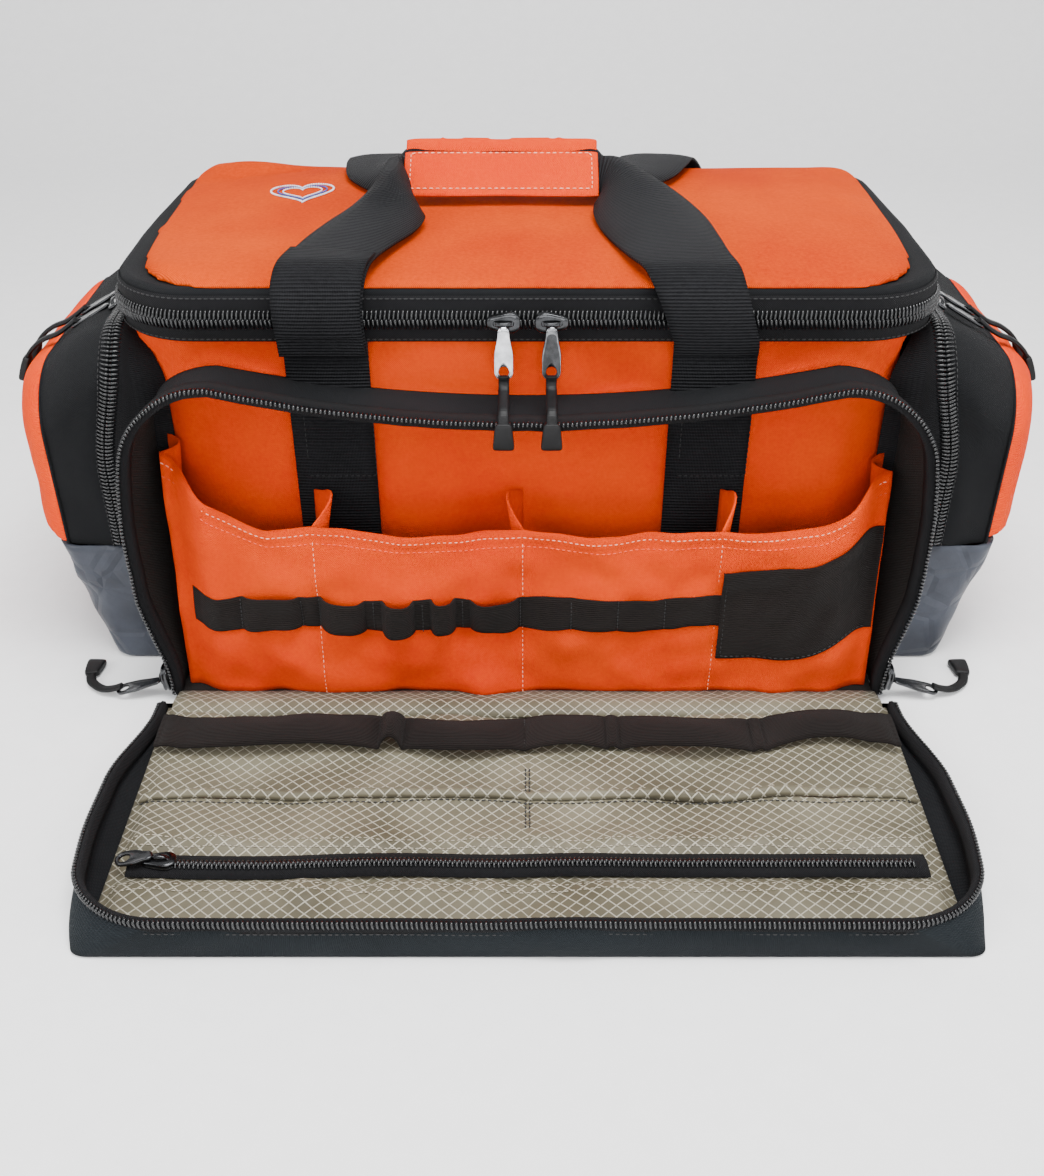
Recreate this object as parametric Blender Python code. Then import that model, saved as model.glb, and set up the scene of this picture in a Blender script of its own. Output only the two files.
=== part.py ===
"""Trauma bag: a duffel with a zipped padded lid, an open drop-front pocket, two end pockets and two carry handles.

Frame: origin at the middle of the underside of the main compartment, +X to the right seen from the front,
+Y to the back, +Z up. The lid and both end pockets are shut and the front flap lies open on the floor.
"""

import math

import bmesh
import bpy
from mathutils import Vector

GAP = 0.0003

# Main compartment
WIDTH = 0.480
DEPTH = 0.245
WALL_TOP = 0.248
WALL = 0.006
FRONT_RADIUS = 0.050
REAR_RADIUS = 0.030
BASE = 0.0042
FRONT_Y = -DEPTH / 2
REAR_Y = DEPTH / 2

# Lid
LID_BOTTOM = 0.2515
LID_EDGE = 0.2660
LID_TOP = 0.2690
LID_CROWN = 0.2745

# Front pocket: the gusset on the body and the flap that drops to the floor
GUSSET_HALF = 0.235
GUSSET_Y = -0.1585
GUSSET_TOP = 0.222
GUSSET_SAG = 0.019
GUSSET_RADIUS = 0.050
GUSSET_WALL = 0.003
STRINGER_Y = -0.1618
HINGE_Y = -0.1725
FLAP_FRONT = -0.3865
FLAP_HALF = 0.242
FLAP_RADIUS = 0.030
FLAP_SHUT = math.radians(86)
RIM_AT_HINGE = 0.010

# Organiser in the front pocket
ORGANISER_TOP = 0.130
BAY_EDGES = (-0.222, -0.134, -0.003, 0.121, 0.222)

# Handles
STRAP_X = 0.115
STRAP_HALF = 0.025
STRAP = 0.0018
GRIP_HALF = 0.0635
GRIP_SHIFT = -0.0170
GRIP_FOOT = (0.0025, 0.2818)
GRIP_LEAN = math.radians(62)
GRIP_TALL = 0.042

# End pockets
POCKET_FRONT = -0.112
POCKET_REAR = 0.112
BOOT_TOP = 0.090
ZIP_X = 0.2520
COVER_X = 0.2525
SHOULDER_X = 0.305
COVER_TOP = 0.2335
SHOULDER_TOP = 0.205
POCKET_HINGE = 0.3135

ORANGE = (0.92, 0.10, 0.02, 1)
BLACK = (0.012, 0.012, 0.014, 1)
SLATE = (0.035, 0.040, 0.046, 1)
GREY = (0.13, 0.135, 0.15, 1)
KHAKI = (0.29, 0.25, 0.17, 1)
COIL = (0.010, 0.010, 0.011, 1)
GUNMETAL = (0.10, 0.10, 0.11, 1)
RUBBER = (0.010, 0.010, 0.010, 1)


def clear_scene():
    for obj in list(bpy.data.objects):
        bpy.data.objects.remove(obj, do_unlink=True)


def material(name, colour, rough, metal=0.0):
    mat = bpy.data.materials.new(name)
    mat.use_nodes = True
    shader = mat.node_tree.nodes["Principled BSDF"]
    shader.inputs["Base Color"].default_value = colour
    shader.inputs["Roughness"].default_value = rough
    shader.inputs["Metallic"].default_value = metal
    return mat


def solid(name, points, faces, mat, origin=(0, 0, 0), smooth=False):
    """One closed mesh, given in world positions, whose object origin sits on its joint axis."""
    mesh = bpy.data.meshes.new(name)
    shift = Vector(origin)
    mesh.from_pydata([Vector(point) - shift for point in points], [], faces)
    work = bmesh.new()
    work.from_mesh(mesh)
    bmesh.ops.recalc_face_normals(work, faces=work.faces)
    work.to_mesh(mesh)
    work.free()
    obj = bpy.data.objects.new(name, mesh)
    obj.location = shift
    mesh.materials.append(mat)
    mesh.polygons.foreach_set("use_smooth", [smooth] * len(mesh.polygons))
    bpy.context.scene.collection.objects.link(obj)
    return obj


def stacked(name, loops, mat, origin=(0, 0, 0), smooth=False):
    """Skins closed loops of equal length one after another and caps the first and the last."""
    count = len(loops[0])
    points = [point for loop in loops for point in loop]
    faces = []
    for level in range(len(loops) - 1):
        low = level * count
        for i in range(count):
            j = (i + 1) % count
            faces.append((low + i, low + j, low + count + j, low + count + i))
    faces.append(tuple(range(count))[::-1])
    faces.append(tuple(range((len(loops) - 1) * count, len(loops) * count)))
    return solid(name, points, faces, mat, origin, smooth)


def ring(name, loops, mat, origin=(0, 0, 0)):
    """A closed band: each loop goes once round, and the last loop joins the first."""
    count = len(loops[0])
    points = [point for loop in loops for point in loop]
    faces = []
    for level in range(len(loops)):
        low = level * count
        high = (level + 1) % len(loops) * count
        for i in range(count):
            j = (i + 1) % count
            faces.append((low + i, low + j, high + j, high + i))
    return solid(name, points, faces, mat, origin)


def box(name, low, high, mat, origin=(0, 0, 0)):
    lower = [(low[0], low[1], low[2]), (high[0], low[1], low[2]), (high[0], high[1], low[2]), (low[0], high[1], low[2])]
    upper = [(x, y, high[2]) for x, y, _ in lower]
    return stacked(name, [lower, upper], mat, origin)


def arc(centre, radius, start, end, steps):
    """Points and outward normals along an arc, angles in degrees."""
    found = []
    for i in range(steps + 1):
        angle = math.radians(start + (end - start) * i / steps)
        normal = (math.cos(angle), math.sin(angle))
        found.append(((centre[0] + radius * normal[0], centre[1] + radius * normal[1]), normal))
    return found


def body_outline():
    """The main compartment seen from above, anticlockwise from the rear left, as points with outward normals."""
    half = WIDTH / 2
    path = []
    path += arc((-half + REAR_RADIUS, REAR_Y - REAR_RADIUS), REAR_RADIUS, 90, 180, 4)
    path += arc((-half + FRONT_RADIUS, FRONT_Y + FRONT_RADIUS), FRONT_RADIUS, 180, 270, 6)
    path += arc((half - FRONT_RADIUS, FRONT_Y + FRONT_RADIUS), FRONT_RADIUS, 270, 360, 6)
    path += arc((half - REAR_RADIUS, REAR_Y - REAR_RADIUS), REAR_RADIUS, 0, 90, 4)
    return path


def offset(path, distance, z):
    return [(p[0] + n[0] * distance, p[1] + n[1] * distance, z) for p, n in path]


def wall_piece(name, path, low, high, mat):
    """A padded wall panel standing on the outline between two heights."""
    outer = offset(path, 0, low)
    inner = offset(path, -WALL, low)[::-1]
    lower = outer + inner
    upper = [(x, y, high) for x, y, _ in lower]
    return stacked(name, [lower, upper], mat)


def tape(name, path, section, mat):
    """A zip half swept along the outline; the section lists (distance out, height)."""
    loops = []
    for p, n in path:
        loops.append([(p[0] + n[0] * out, p[1] + n[1] * out, z) for out, z in section])
    return stacked(name, loops, mat)


def build_shell(mats):
    outline = body_outline()
    floor = offset(outline, 0, 0)
    stacked("base_panel", [floor, offset(outline, 0, BASE)], mats["lining"])
    low = BASE + GAP
    front = outline[5:19]
    rear = outline[19:] + outline[:5]
    wall_piece("front_panel", front, low, WALL_TOP, mats["orange"])
    wall_piece("rear_panel", rear, low, WALL_TOP, mats["orange"])
    near = FRONT_Y + FRONT_RADIUS + GAP
    far = REAR_Y - REAR_RADIUS - GAP
    half = WIDTH / 2
    box("left_end_panel", (-half, near, low), (-half + WALL, far, WALL_TOP), mats["orange"])
    box("right_end_panel", (half - WALL, near, low), (half, far, WALL_TOP), mats["orange"])


def zip_path():
    """The main zip runs from one rear corner round the front to the other."""
    half = WIDTH / 2
    start = [((-half, 0.080), (-1, 0))]
    end = [((half, 0.080), (1, 0))]
    return start + body_outline()[5:19] + end


def build_zip_and_lid(mats):
    lower = [(GAP, 0.2370), (0.0015, 0.2370), (0.0015, 0.2450), (0.0038, 0.2462), (0.0038, 0.2497), (GAP, 0.2497)]
    upper = [(GAP, 0.2513), (0.0038, 0.2513), (0.0038, 0.2548), (0.0015, 0.2560), (0.0015, 0.2640), (GAP, 0.2640)]
    tape("rim_stringer", zip_path(), lower, mats["coil"])
    tape("lid_stringer", zip_path(), upper, mats["coil"])
    outline = body_outline()
    ring(
        "lid_border",
        [
            offset(outline, 0, LID_BOTTOM),
            offset(outline, 0, LID_EDGE),
            offset(outline, -WALL, LID_EDGE),
            offset(outline, -WALL, LID_BOTTOM),
        ],
        mats["black"],
    )
    stacked(
        "lid_panel",
        [
            offset(outline, 0, LID_EDGE + GAP),
            offset(outline, 0, LID_TOP),
            offset(outline, -0.006, 0.2725),
            offset(outline, -0.028, LID_CROWN),
        ],
        mats["orange"],
    )


def face_y(x):
    """The y of the front wall's outer face at a given x, which runs back round the corners."""
    past = max(abs(x) - (WIDTH / 2 - FRONT_RADIUS), 0)
    return FRONT_Y + FRONT_RADIUS - math.sqrt(max(FRONT_RADIUS**2 - past**2, 0))


def gusset_outline(steps=5):
    """The drop-front opening seen from the front, anticlockwise from the bottom left, with outward normals."""
    half = GUSSET_HALF
    high = GUSSET_TOP - GUSSET_RADIUS
    path = [((-half, 0.0), (-1, 0)), ((-0.188, 0.0), (0, 0)), ((0.188, 0.0), (0, 0)), ((half, 0.0), (1, 0))]
    path += arc((half - GUSSET_RADIUS, high), GUSSET_RADIUS, 0, 90, steps)
    for x in (0.143, 0.142, 0.088, 0.087, 0.045, 0.0, -0.045, -0.087, -0.088, -0.142, -0.143):
        dip = GUSSET_SAG * (1 - (x / 0.185) ** 2)
        path.append(((x, GUSSET_TOP - dip), (0, 1)))
    path += arc((-half + GUSSET_RADIUS, high), GUSSET_RADIUS, 90, 180, steps)
    return path


def gusset_back(x):
    """The gusset meets the wall, and stands off it by the thickness of the handle webbing where that passes."""
    inner = max(abs(x) - GUSSET_WALL, 0)
    if 0.0879 < abs(x) < 0.1421:
        return FRONT_Y - STRAP - 3 * GAP
    return face_y(inner) - (0.0020 if abs(x) > 0.1840 else GAP)


def build_front_pocket(mats):
    path = gusset_outline()
    loops = [[], [], [], []]
    for i, (p, n) in enumerate(path):
        bottom = i < 4
        lift = GUSSET_WALL if bottom else 0.0
        inward = -GUSSET_WALL * n[0]
        fall = -GUSSET_WALL * n[1]
        front = -0.1670 if bottom else GUSSET_Y
        back = FRONT_Y - GAP if bottom else gusset_back(p[0])
        loops[0].append((p[0], front, p[1]))
        loops[1].append((p[0], back, p[1]))
        loops[2].append((p[0] + inward, back, p[1] + fall + lift))
        loops[3].append((p[0] + inward, front, p[1] + fall + lift))
    split = [((-GUSSET_HALF, 0.0045), (-1, 0)), ((GUSSET_HALF, 0.0045), (1, 0))]
    ends = [
        (split[0], loops),
        (split[1], loops),
    ]
    for (p, n), target in ends:
        place = len(target[0]) if p[0] < 0 else 4
        back = gusset_back(p[0])
        inside = p[0] - n[0] * GUSSET_WALL
        target[0].insert(place, (p[0], GUSSET_Y, p[1]))
        target[1].insert(place, (p[0], back, p[1]))
        target[2].insert(place, (inside, back, p[1]))
        target[3].insert(place, (inside, GUSSET_Y, p[1]))
    ring("front_gusset", loops, mats["black"])

    coil = []
    for p, n in [split[1]] + path[4:] + [split[0]]:
        low = max(p[1], 0.0070)
        section = []
        for out, y in ((0.0005, GUSSET_Y - GAP), (-0.0035, GUSSET_Y - GAP), (-0.0035, STRINGER_Y), (0.0005, STRINGER_Y)):
            section.append((p[0] + n[0] * out, y, low + n[1] * out))
        coil.append(section)
    stacked("front_gusset_stringer", coil, mats["coil"])


def build_organiser(mats):
    """Four bays: a front sheet with two ends and three dividers running back to the wall."""
    front = -0.1565
    inner = -0.1545
    back = -0.1275
    thick = 0.0016
    left = BAY_EDGES[0]
    right = BAY_EDGES[-1]
    outline = [(left, front), (right, front), (right, back)]
    outline += [(right - thick, back), (right - thick, inner)]
    for x in BAY_EDGES[-2:0:-1]:
        outline += [(x + thick / 2, inner), (x + thick / 2, back), (x - thick / 2, back), (x - thick / 2, inner)]
    outline += [(left + thick, inner), (left + thick, back), (left, back)]
    low = GUSSET_WALL + GAP
    stacked("organiser_pocket", [[(x, y, z) for x, y in outline] for z in (low, ORGANISER_TOP)], mats["orange"])
    near = front - GAP
    box("organiser_elastic", (-0.205, near - 0.0018, 0.0570), (0.1180, near, 0.0800), mats["elastic"])
    box("organiser_card_elastic", (0.1240, near - 0.0018, 0.0330), (0.2180, near, 0.0980), mats["elastic"])


def build_strap_runs(mats):
    for side, sign in (("left", -1), ("right", 1)):
        x0 = min(sign * (STRAP_X - STRAP_HALF), sign * (STRAP_X + STRAP_HALF))
        low = (x0, FRONT_Y - GAP - STRAP, 0.100)
        high = (x0 + 2 * STRAP_HALF, FRONT_Y - GAP, 0.232)
        box(f"{side}_strap_run", low, high, mats["webbing"])


def along_grip(up, out):
    """A (y, z) place on the leaning grip: distance up its face and distance out of it."""
    s, c = math.sin(GRIP_LEAN), math.cos(GRIP_LEAN)
    return (GRIP_FOOT[0] + up * s - out * c, GRIP_FOOT[1] + up * c + out * s)


def band(name, edges, thick, mat, origin):
    """Webbing skinned between an outer and an inner edge, with an even thickness."""
    loops = []
    for i, (a, b) in enumerate(edges):
        before = edges[max(i - 1, 0)]
        after = edges[min(i + 1, len(edges) - 1)]
        travel = Vector(after[0]) + Vector(after[1]) - Vector(before[0]) - Vector(before[1])
        across = Vector(a) - Vector(b)
        normal = across.cross(travel).normalized() * (thick / 2)
        loops.append([Vector(a) + normal, Vector(b) + normal, Vector(b) - normal, Vector(a) - normal])
    return stacked(name, loops, mat, origin)


def mirrored(edges):
    """The same run on the left, continued from the right so that the webbing is one piece."""
    flipped = [((-a[0], a[1], a[2]), (-b[0], b[1], b[2])) for a, b in edges]
    return flipped[::-1]


def leaning(edges, reach=0.090):
    """The grip rests a little to the left, and its webbing leans after it."""
    moved = []
    for pair in edges:
        middle = (abs(pair[0][1]) + abs(pair[1][1])) / 2
        share = min(max((0.127 - middle) / reach, 0.0), 1.0)
        moved.append(tuple((p[0] + GRIP_SHIFT * share, p[1], p[2]) for p in pair))
    return moved


def grip_leaf(name, low_out, high_out, foot, tall, mat, origin):
    profile = [(foot, low_out), (foot + tall, low_out), (foot + tall, high_out), (foot, high_out)]
    loops = []
    for x in (GRIP_SHIFT - GRIP_HALF, GRIP_SHIFT + GRIP_HALF):
        loops.append([(x,) + along_grip(up, out) for up, out in profile])
    stacked(name, loops, mat, origin)


def build_front_handle(mats):
    origin = (0, -0.1300, 0.2335)
    right = [
        ((0.140, -0.1300, 0.2335), (0.090, -0.1300, 0.2335)),
        ((0.140, -0.1312, 0.2600), (0.090, -0.1312, 0.2600)),
        ((0.139, -0.1270, 0.2745), (0.089, -0.1270, 0.2745)),
        ((0.138, -0.1120, 0.2805), (0.088, -0.1120, 0.2805)),
        ((0.132, -0.0760, 0.2815), (0.083, -0.0820, 0.2810)),
        ((0.120, -0.0320, 0.2835), (0.076, -0.0480, 0.2815)),
        ((0.103, 0.0060, 0.2885), (0.070, -0.0200, 0.2825)),
        ((0.083, 0.0270, 0.2925), (0.0705, -0.0060, 0.2812)),
    ]
    for x in (0.0655, 0.0600):
        right.append(((x,) + along_grip(0.038, -0.0012), (x,) + along_grip(0.004, -0.0012)))
    band("front_handle_webbing", leaning(right + mirrored(right)), STRAP, mats["webbing"], origin)
    grip_leaf("grip_front_leaf", 0.0, 0.0042, 0.0, GRIP_TALL, mats["orange"], origin)


def build_rear_handle(mats):
    origin = (0, 0.1300, 0.2335)
    right = [
        ((0.140, 0.1300, 0.2335), (0.090, 0.1300, 0.2335)),
        ((0.140, 0.1312, 0.2600), (0.090, 0.1312, 0.2600)),
        ((0.139, 0.1270, 0.2745), (0.089, 0.1270, 0.2745)),
        ((0.138, 0.1130, 0.2795), (0.088, 0.1130, 0.2795)),
        ((0.129, 0.0780, 0.2790), (0.081, 0.0880, 0.2805)),
        ((0.108, 0.0420, 0.2790), (0.074, 0.0680, 0.2870)),
        ((0.085, 0.0180, 0.2785), (0.0705, 0.0500, 0.2935)),
    ]
    for x in (0.0655, 0.0600):
        right.append(((x,) + along_grip(0.006, -0.0034), (x,) + along_grip(0.042, -0.0034)))
    band("rear_handle_webbing", leaning(right + mirrored(right), 0.044), STRAP, mats["webbing"], origin)
    grip_leaf("grip_rear_leaf", -0.0090, -0.0048, 0.0060, GRIP_TALL, mats["orange"], origin)


def rim_height(y):
    """How high the flap's zip edge stands, so that it meets the gusset's zip edge when the flap is shut."""
    reach = HINGE_Y - y
    return (RIM_AT_HINGE + reach * math.cos(FLAP_SHUT)) / math.sin(FLAP_SHUT)


def flap_path():
    half = FLAP_HALF
    near = FLAP_FRONT + FLAP_RADIUS
    path = [((-half, HINGE_Y - 0.004), (-1, 0))]
    path += arc((-half + FLAP_RADIUS, near), FLAP_RADIUS, 180, 270, 5)
    path += arc((half - FLAP_RADIUS, near), FLAP_RADIUS, 270, 360, 5)
    path.append(((half, HINGE_Y - 0.004), (1, 0)))
    return path


def build_flap(mats):
    origin = (0, HINGE_Y, 0)
    half = FLAP_HALF
    lip = [((half, HINGE_Y), (0.999, 1)), ((-half, HINGE_Y), (-0.999, 1))]
    path = flap_path() + lip
    loops = [[], [], [], []]
    for p, n in path:
        at_lip = n[1] > 0.5
        high = 0.0045 if at_lip else rim_height(p[1]) - 0.0030
        x = p[0] - n[0] * 0.003
        y = p[1] - n[1] * 0.003
        loops[0].append((p[0], p[1], 0.0))
        loops[1].append((p[0], p[1], high))
        loops[2].append((x, y, high))
        loops[3].append((x, y, 0.0030))
    tray(loops, mats["slate"], origin)

    coil = []
    for p, n in flap_path():
        high = rim_height(p[1])
        section = []
        for out, drop in ((0.0005, 0.0027), (-0.0035, 0.0027), (-0.0035, 0.0), (0.0005, 0.0)):
            section.append((p[0] + n[0] * out, p[1] + n[1] * out, high - drop))
        coil.append(section)
    stacked("flap_stringer", coil, mats["coil"], origin)

    inset = 0.0045
    floor = [(p[0] - n[0] * inset, p[1] - n[1] * inset) for p, n in flap_path()[1:-1]]
    floor = [(-half + inset, -0.1830)] + floor + [(half - inset, -0.1830)]
    stacked("flap_lining", [[(x, y, z) for x, y in floor] for z in (0.0033, 0.0060)], mats["khaki"], origin)
    box("flap_elastic", (-0.218, -0.2220, 0.0063), (0.218, -0.1860, 0.0083), mats["elastic"], origin)
    box("flap_pocket_zip", (-0.232, -0.3340, 0.0063), (0.232, -0.3180, 0.0088), mats["coil"], origin)


def tray(loops, mat, origin):
    """The flap's outer cloth: floor, two side walls and a front wall, open towards the hinge."""
    count = len(loops[0])
    points = [point for loop in loops for point in loop]
    faces = [tuple(range(count))[::-1], tuple(range(3 * count, 4 * count))]
    for level in range(3):
        low = level * count
        for i in range(count):
            j = (i + 1) % count
            faces.append((low + i, low + j, low + count + j, low + count + i))
    solid("flap_shell", points, faces, mat, origin)


def arch(sign, x, front, rear, top, radius, low, inset=0.0):
    """Half an end pocket's arch in the plane of constant x: up the front, over and down the back."""
    path = [((front, low), (-1, 0))]
    path += arc((front + radius, top - radius), radius, 180, 90, 3)
    path += arc((rear - radius, top - radius), radius, 90, 0, 3)
    path.append(((rear, low), (1, 0)))
    return [(sign * x, p[0] - n[0] * inset, p[1] - n[1] * inset) for p, n in path]


def build_end_pockets(mats):
    for side, sign in (("left", -1), ("right", 1)):
        build_boot(side, sign, mats)
        low = BOOT_TOP + GAP
        fixed = []
        for x, inset in ((0.2446, 0.0), (ZIP_X, 0.0), (ZIP_X, 0.003), (0.2446, 0.003)):
            fixed.append(arch(sign, x, POCKET_FRONT, POCKET_REAR, COVER_TOP, 0.028, low, inset))
        strip_from_edges(f"{side}_pocket_stringer", fixed, mats["coil"], (0, 0, 0))
        origin = (sign * POCKET_HINGE, 0, BOOT_TOP)
        build_cover(side, sign, mats, origin)


def strip_from_edges(name, edges, mat, origin):
    """A strip given as four edge lines that run its whole length."""
    loops = [[edge[i] for edge in edges] for i in range(len(edges[0]))]
    stacked(name, loops, mat, origin)


def build_boot(side, sign, mats):
    """The tarpaulin foot of an end pocket: a tub that leans out a little."""
    near, far = POCKET_FRONT, POCKET_REAR
    inner = WIDTH / 2 + GAP
    foot, brim = 0.290, 0.312
    thick = 0.003

    def loop(out, inside, front, rear, z):
        return [(sign * inside, front, z), (sign * out, front, z), (sign * out, rear, z), (sign * inside, rear, z)]

    loops = [
        loop(foot, inner, near, far, 0.0),
        loop(brim, inner, near, far, BOOT_TOP),
        loop(brim - thick, inner + thick, near + thick, far - thick, BOOT_TOP),
        loop(foot - thick, inner + thick, near + thick, far - thick, thick),
    ]
    stacked(f"{side}_pocket_boot", loops, mats["grey"])


def build_cover(side, sign, mats, origin):
    low = BOOT_TOP + GAP
    edges = []
    for x, top, grow, inset in (
        (COVER_X, COVER_TOP, 0.0, 0.0),
        (SHOULDER_X, SHOULDER_TOP, 0.004, 0.0),
        (SHOULDER_X, SHOULDER_TOP, 0.004, 0.003),
        (COVER_X, COVER_TOP, 0.0, 0.003),
    ):
        radius = 0.028 if x == COVER_X else 0.040
        edges.append(arch(sign, x, POCKET_FRONT + grow, POCKET_REAR - grow, top, radius, low, inset))
    strip_from_edges(f"{side}_cover_gusset", edges, mats["black"], origin)
    build_cover_panel(side, sign, mats, origin, low)


def build_cover_panel(side, sign, mats, origin, low):
    """The rounded outer panel of an end pocket, padded and bulging outwards."""
    front = POCKET_FRONT + 0.004
    rear = POCKET_REAR - 0.004
    rings = []
    for out, shrink in ((SHOULDER_X + GAP, 0.0), (0.318, 0.006), (0.328, 0.022), (0.333, 0.045)):
        top = SHOULDER_TOP - shrink
        foot = low + shrink * 0.15
        rings.append(arch(sign, out, front + shrink, rear - shrink, top, 0.040, foot))
    inner = []
    for out, shrink in ((0.329, 0.046), (0.324, 0.025), (0.315, 0.010), (SHOULDER_X + GAP, 0.003)):
        top = SHOULDER_TOP - shrink
        foot = low + 0.003 + shrink * 0.15
        inner.append(arch(sign, out, front + shrink, rear - shrink, top, 0.040, foot))
    stacked_open(f"{side}_cover_panel", rings, inner, mats["orange"], origin)


def stacked_open(name, outer, inner, mat, origin):
    """A shell: outer rings from the rim to the crown, then inner rings from the crown back to the rim."""
    loops = outer + inner
    count = len(loops[0])
    points = [point for loop in loops for point in loop]
    faces = []
    crown = len(outer) - 1
    for level in range(len(loops)):
        if level == crown:
            continue
        low = level * count
        high = (level + 1) % len(loops) * count
        for i in range(count):
            j = (i + 1) % count
            faces.append((low + i, low + j, high + j, high + i))
    faces.append(tuple(range(crown * count, crown * count + count)))
    faces.append(tuple(range((crown + 1) * count, (crown + 2) * count))[::-1])
    solid(name, points, faces, mat, origin)


def turned(points, pivot, along, across, out):
    """Places (along, across, out) offsets in a frame given by three unit directions."""
    pivot, along, across, out = (Vector(v) for v in (pivot, along, across, out))
    return [pivot + along * a + across * b + out * c for a, b, c in points]


def slider_body(name, centre, along, across, out, mats, origin):
    """A zip slider: a shield a little narrower at its tail, with a bridge for the tab."""
    half, wide, tail = 0.0098, 0.0062, 0.0045
    foot = [(-half, -tail), (half - 0.004, -wide), (half, -wide * 0.55), (half, wide * 0.55), (half - 0.004, wide), (-half, tail)]
    loops = []
    for scale, height in ((1.0, -0.0027), (1.0, 0.0005), (0.86, 0.0018), (0.45, 0.0030)):
        loops.append(turned([(a * scale, b * scale, height) for a, b in foot], centre, along, across, out))
    return stacked(name, loops, mats["gunmetal"], origin)


def pull_tab(name, pivot, along, across, out, long, mats, segments=6):
    """A flat tab with a round hole at its free end, hinged at its other end."""
    wide, neck, thick, hole = 0.0053, 0.0032, 0.0008, 0.0030
    centre = long - 0.0055
    outer = [(0.0, -neck), (0.006, -wide), (centre, -wide)]
    for i in range(1, segments):
        angle = -math.pi / 2 + math.pi * i / segments
        outer.append((centre + 0.0055 * math.cos(angle), wide * math.sin(angle)))
    outer += [(centre, wide), (0.006, wide), (0.0, neck)]
    inner = []
    for a, b in outer:
        angle = math.atan2(b, a - centre)
        inner.append((centre + hole * math.cos(angle), hole * math.sin(angle)))
    loops = []
    for points, height in ((outer, -thick), (outer, thick), (inner, thick), (inner, -thick)):
        loops.append(turned([(a, b, height) for a, b in points], pivot, along, across, out))
    return ring(name, loops, mats["gunmetal"], pivot)


def pull_cord(name, path, across, mats, origin):
    """A braided pull that flattens towards a moulded end, as one swept piece."""
    loops = []
    across = Vector(across)
    points = [Vector(point) for point in path]
    for i, point in enumerate(points):
        before = points[max(i - 1, 0)]
        after = points[min(i + 1, len(points) - 1)]
        travel = (after - before).normalized()
        normal = across.cross(travel).normalized()
        last = i >= len(points) - 2
        wide = 0.0062 if last else 0.0034
        deep = 0.0024 if last else 0.0014
        corners = [(-wide, -deep), (wide, -deep), (wide, deep), (-wide, deep)]
        if i == len(points) - 2:
            tie = point - travel * 0.0006
            thin = [(-0.0034, -0.0014), (0.0034, -0.0014), (0.0034, 0.0014), (-0.0034, 0.0014)]
            loops.append([tie + across * a + normal * b for a, b in thin])
        loops.append([point + across * a + normal * b for a, b in corners])
    return stacked(name, loops, mats["rubber"], origin)


def build_lid_pulls(mats):
    for side, sign in (("left", -1), ("right", 1)):
        x = sign * 0.0140
        slider_body(f"lid_slider_{side}", (x, -0.1296, 0.2505), (-sign, 0, 0), (0, 0, 1), (0, -1, 0), mats, (x, -0.1296, 0.2505))
        pivot = (x, -0.1345, 0.2485)
        pull_tab(f"lid_tab_{side}", pivot, (0, 0, -1), (1, 0, 0), (0, -1, 0), 0.0315, mats)
        path = [(-0.1345, 0.2160), (-0.1400, 0.2125), (-0.1520, 0.2110), (-0.1625, 0.2095), (-0.1668, 0.2030), (-0.1672, 0.1880)]
        pull_cord(f"lid_pull_{side}", [(x, y, z) for y, z in path], (1, 0, 0), mats, pivot)


def build_front_pocket_pulls(mats):
    for side, sign in (("left", -1), ("right", 1)):
        centre = (sign * 0.2415, -0.1560, 0.0150)
        slider_body(f"front_slider_{side}", centre, (0, 0, 1), (0, 1, 0), (sign, 0, 0), mats, centre)
        pivot = (sign * 0.2460, -0.1560, 0.0125)
        fall = math.radians(16)
        along = (sign * math.cos(fall), 0, -math.sin(fall))
        out = (sign * math.sin(fall), 0, math.cos(fall))
        pull_tab(f"front_tab_{side}", pivot, along, (0, 1, 0), out, 0.0315, mats)
        path = [(0.2790, -0.1560, 0.0030), (0.2900, -0.1530, 0.0028), (0.2990, -0.1440, 0.0028), (0.3010, -0.1340, 0.0028)]
        path = path + [(0.3000, -0.1180, 0.0028)]
        lay_flat_cord(f"front_pull_{side}", [(sign * x, y, z) for x, y, z in path], mats, pivot)


def lay_flat_cord(name, path, mats, origin):
    """A pull lying on the floor, its width kept level."""
    loops = []
    points = [Vector(point) for point in path]
    up = Vector((0, 0, 1))
    for i, point in enumerate(points):
        before = points[max(i - 1, 0)]
        after = points[min(i + 1, len(points) - 1)]
        travel = (after - before).normalized()
        across = travel.cross(up).normalized()
        last = i >= len(points) - 2
        wide = 0.0062 if last else 0.0034
        deep = 0.0024 if last else 0.0014
        if i == len(points) - 2:
            tie = point - travel * 0.0006
            loops.append([tie + across * a + up * b for a, b in ((-0.0034, -0.0014), (0.0034, -0.0014), (0.0034, 0.0014), (-0.0034, 0.0014))])
        loops.append([point + across * a + up * b for a, b in ((-wide, -deep), (wide, -deep), (wide, deep), (-wide, deep))])
    return stacked(name, loops, mats["rubber"], origin)


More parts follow.
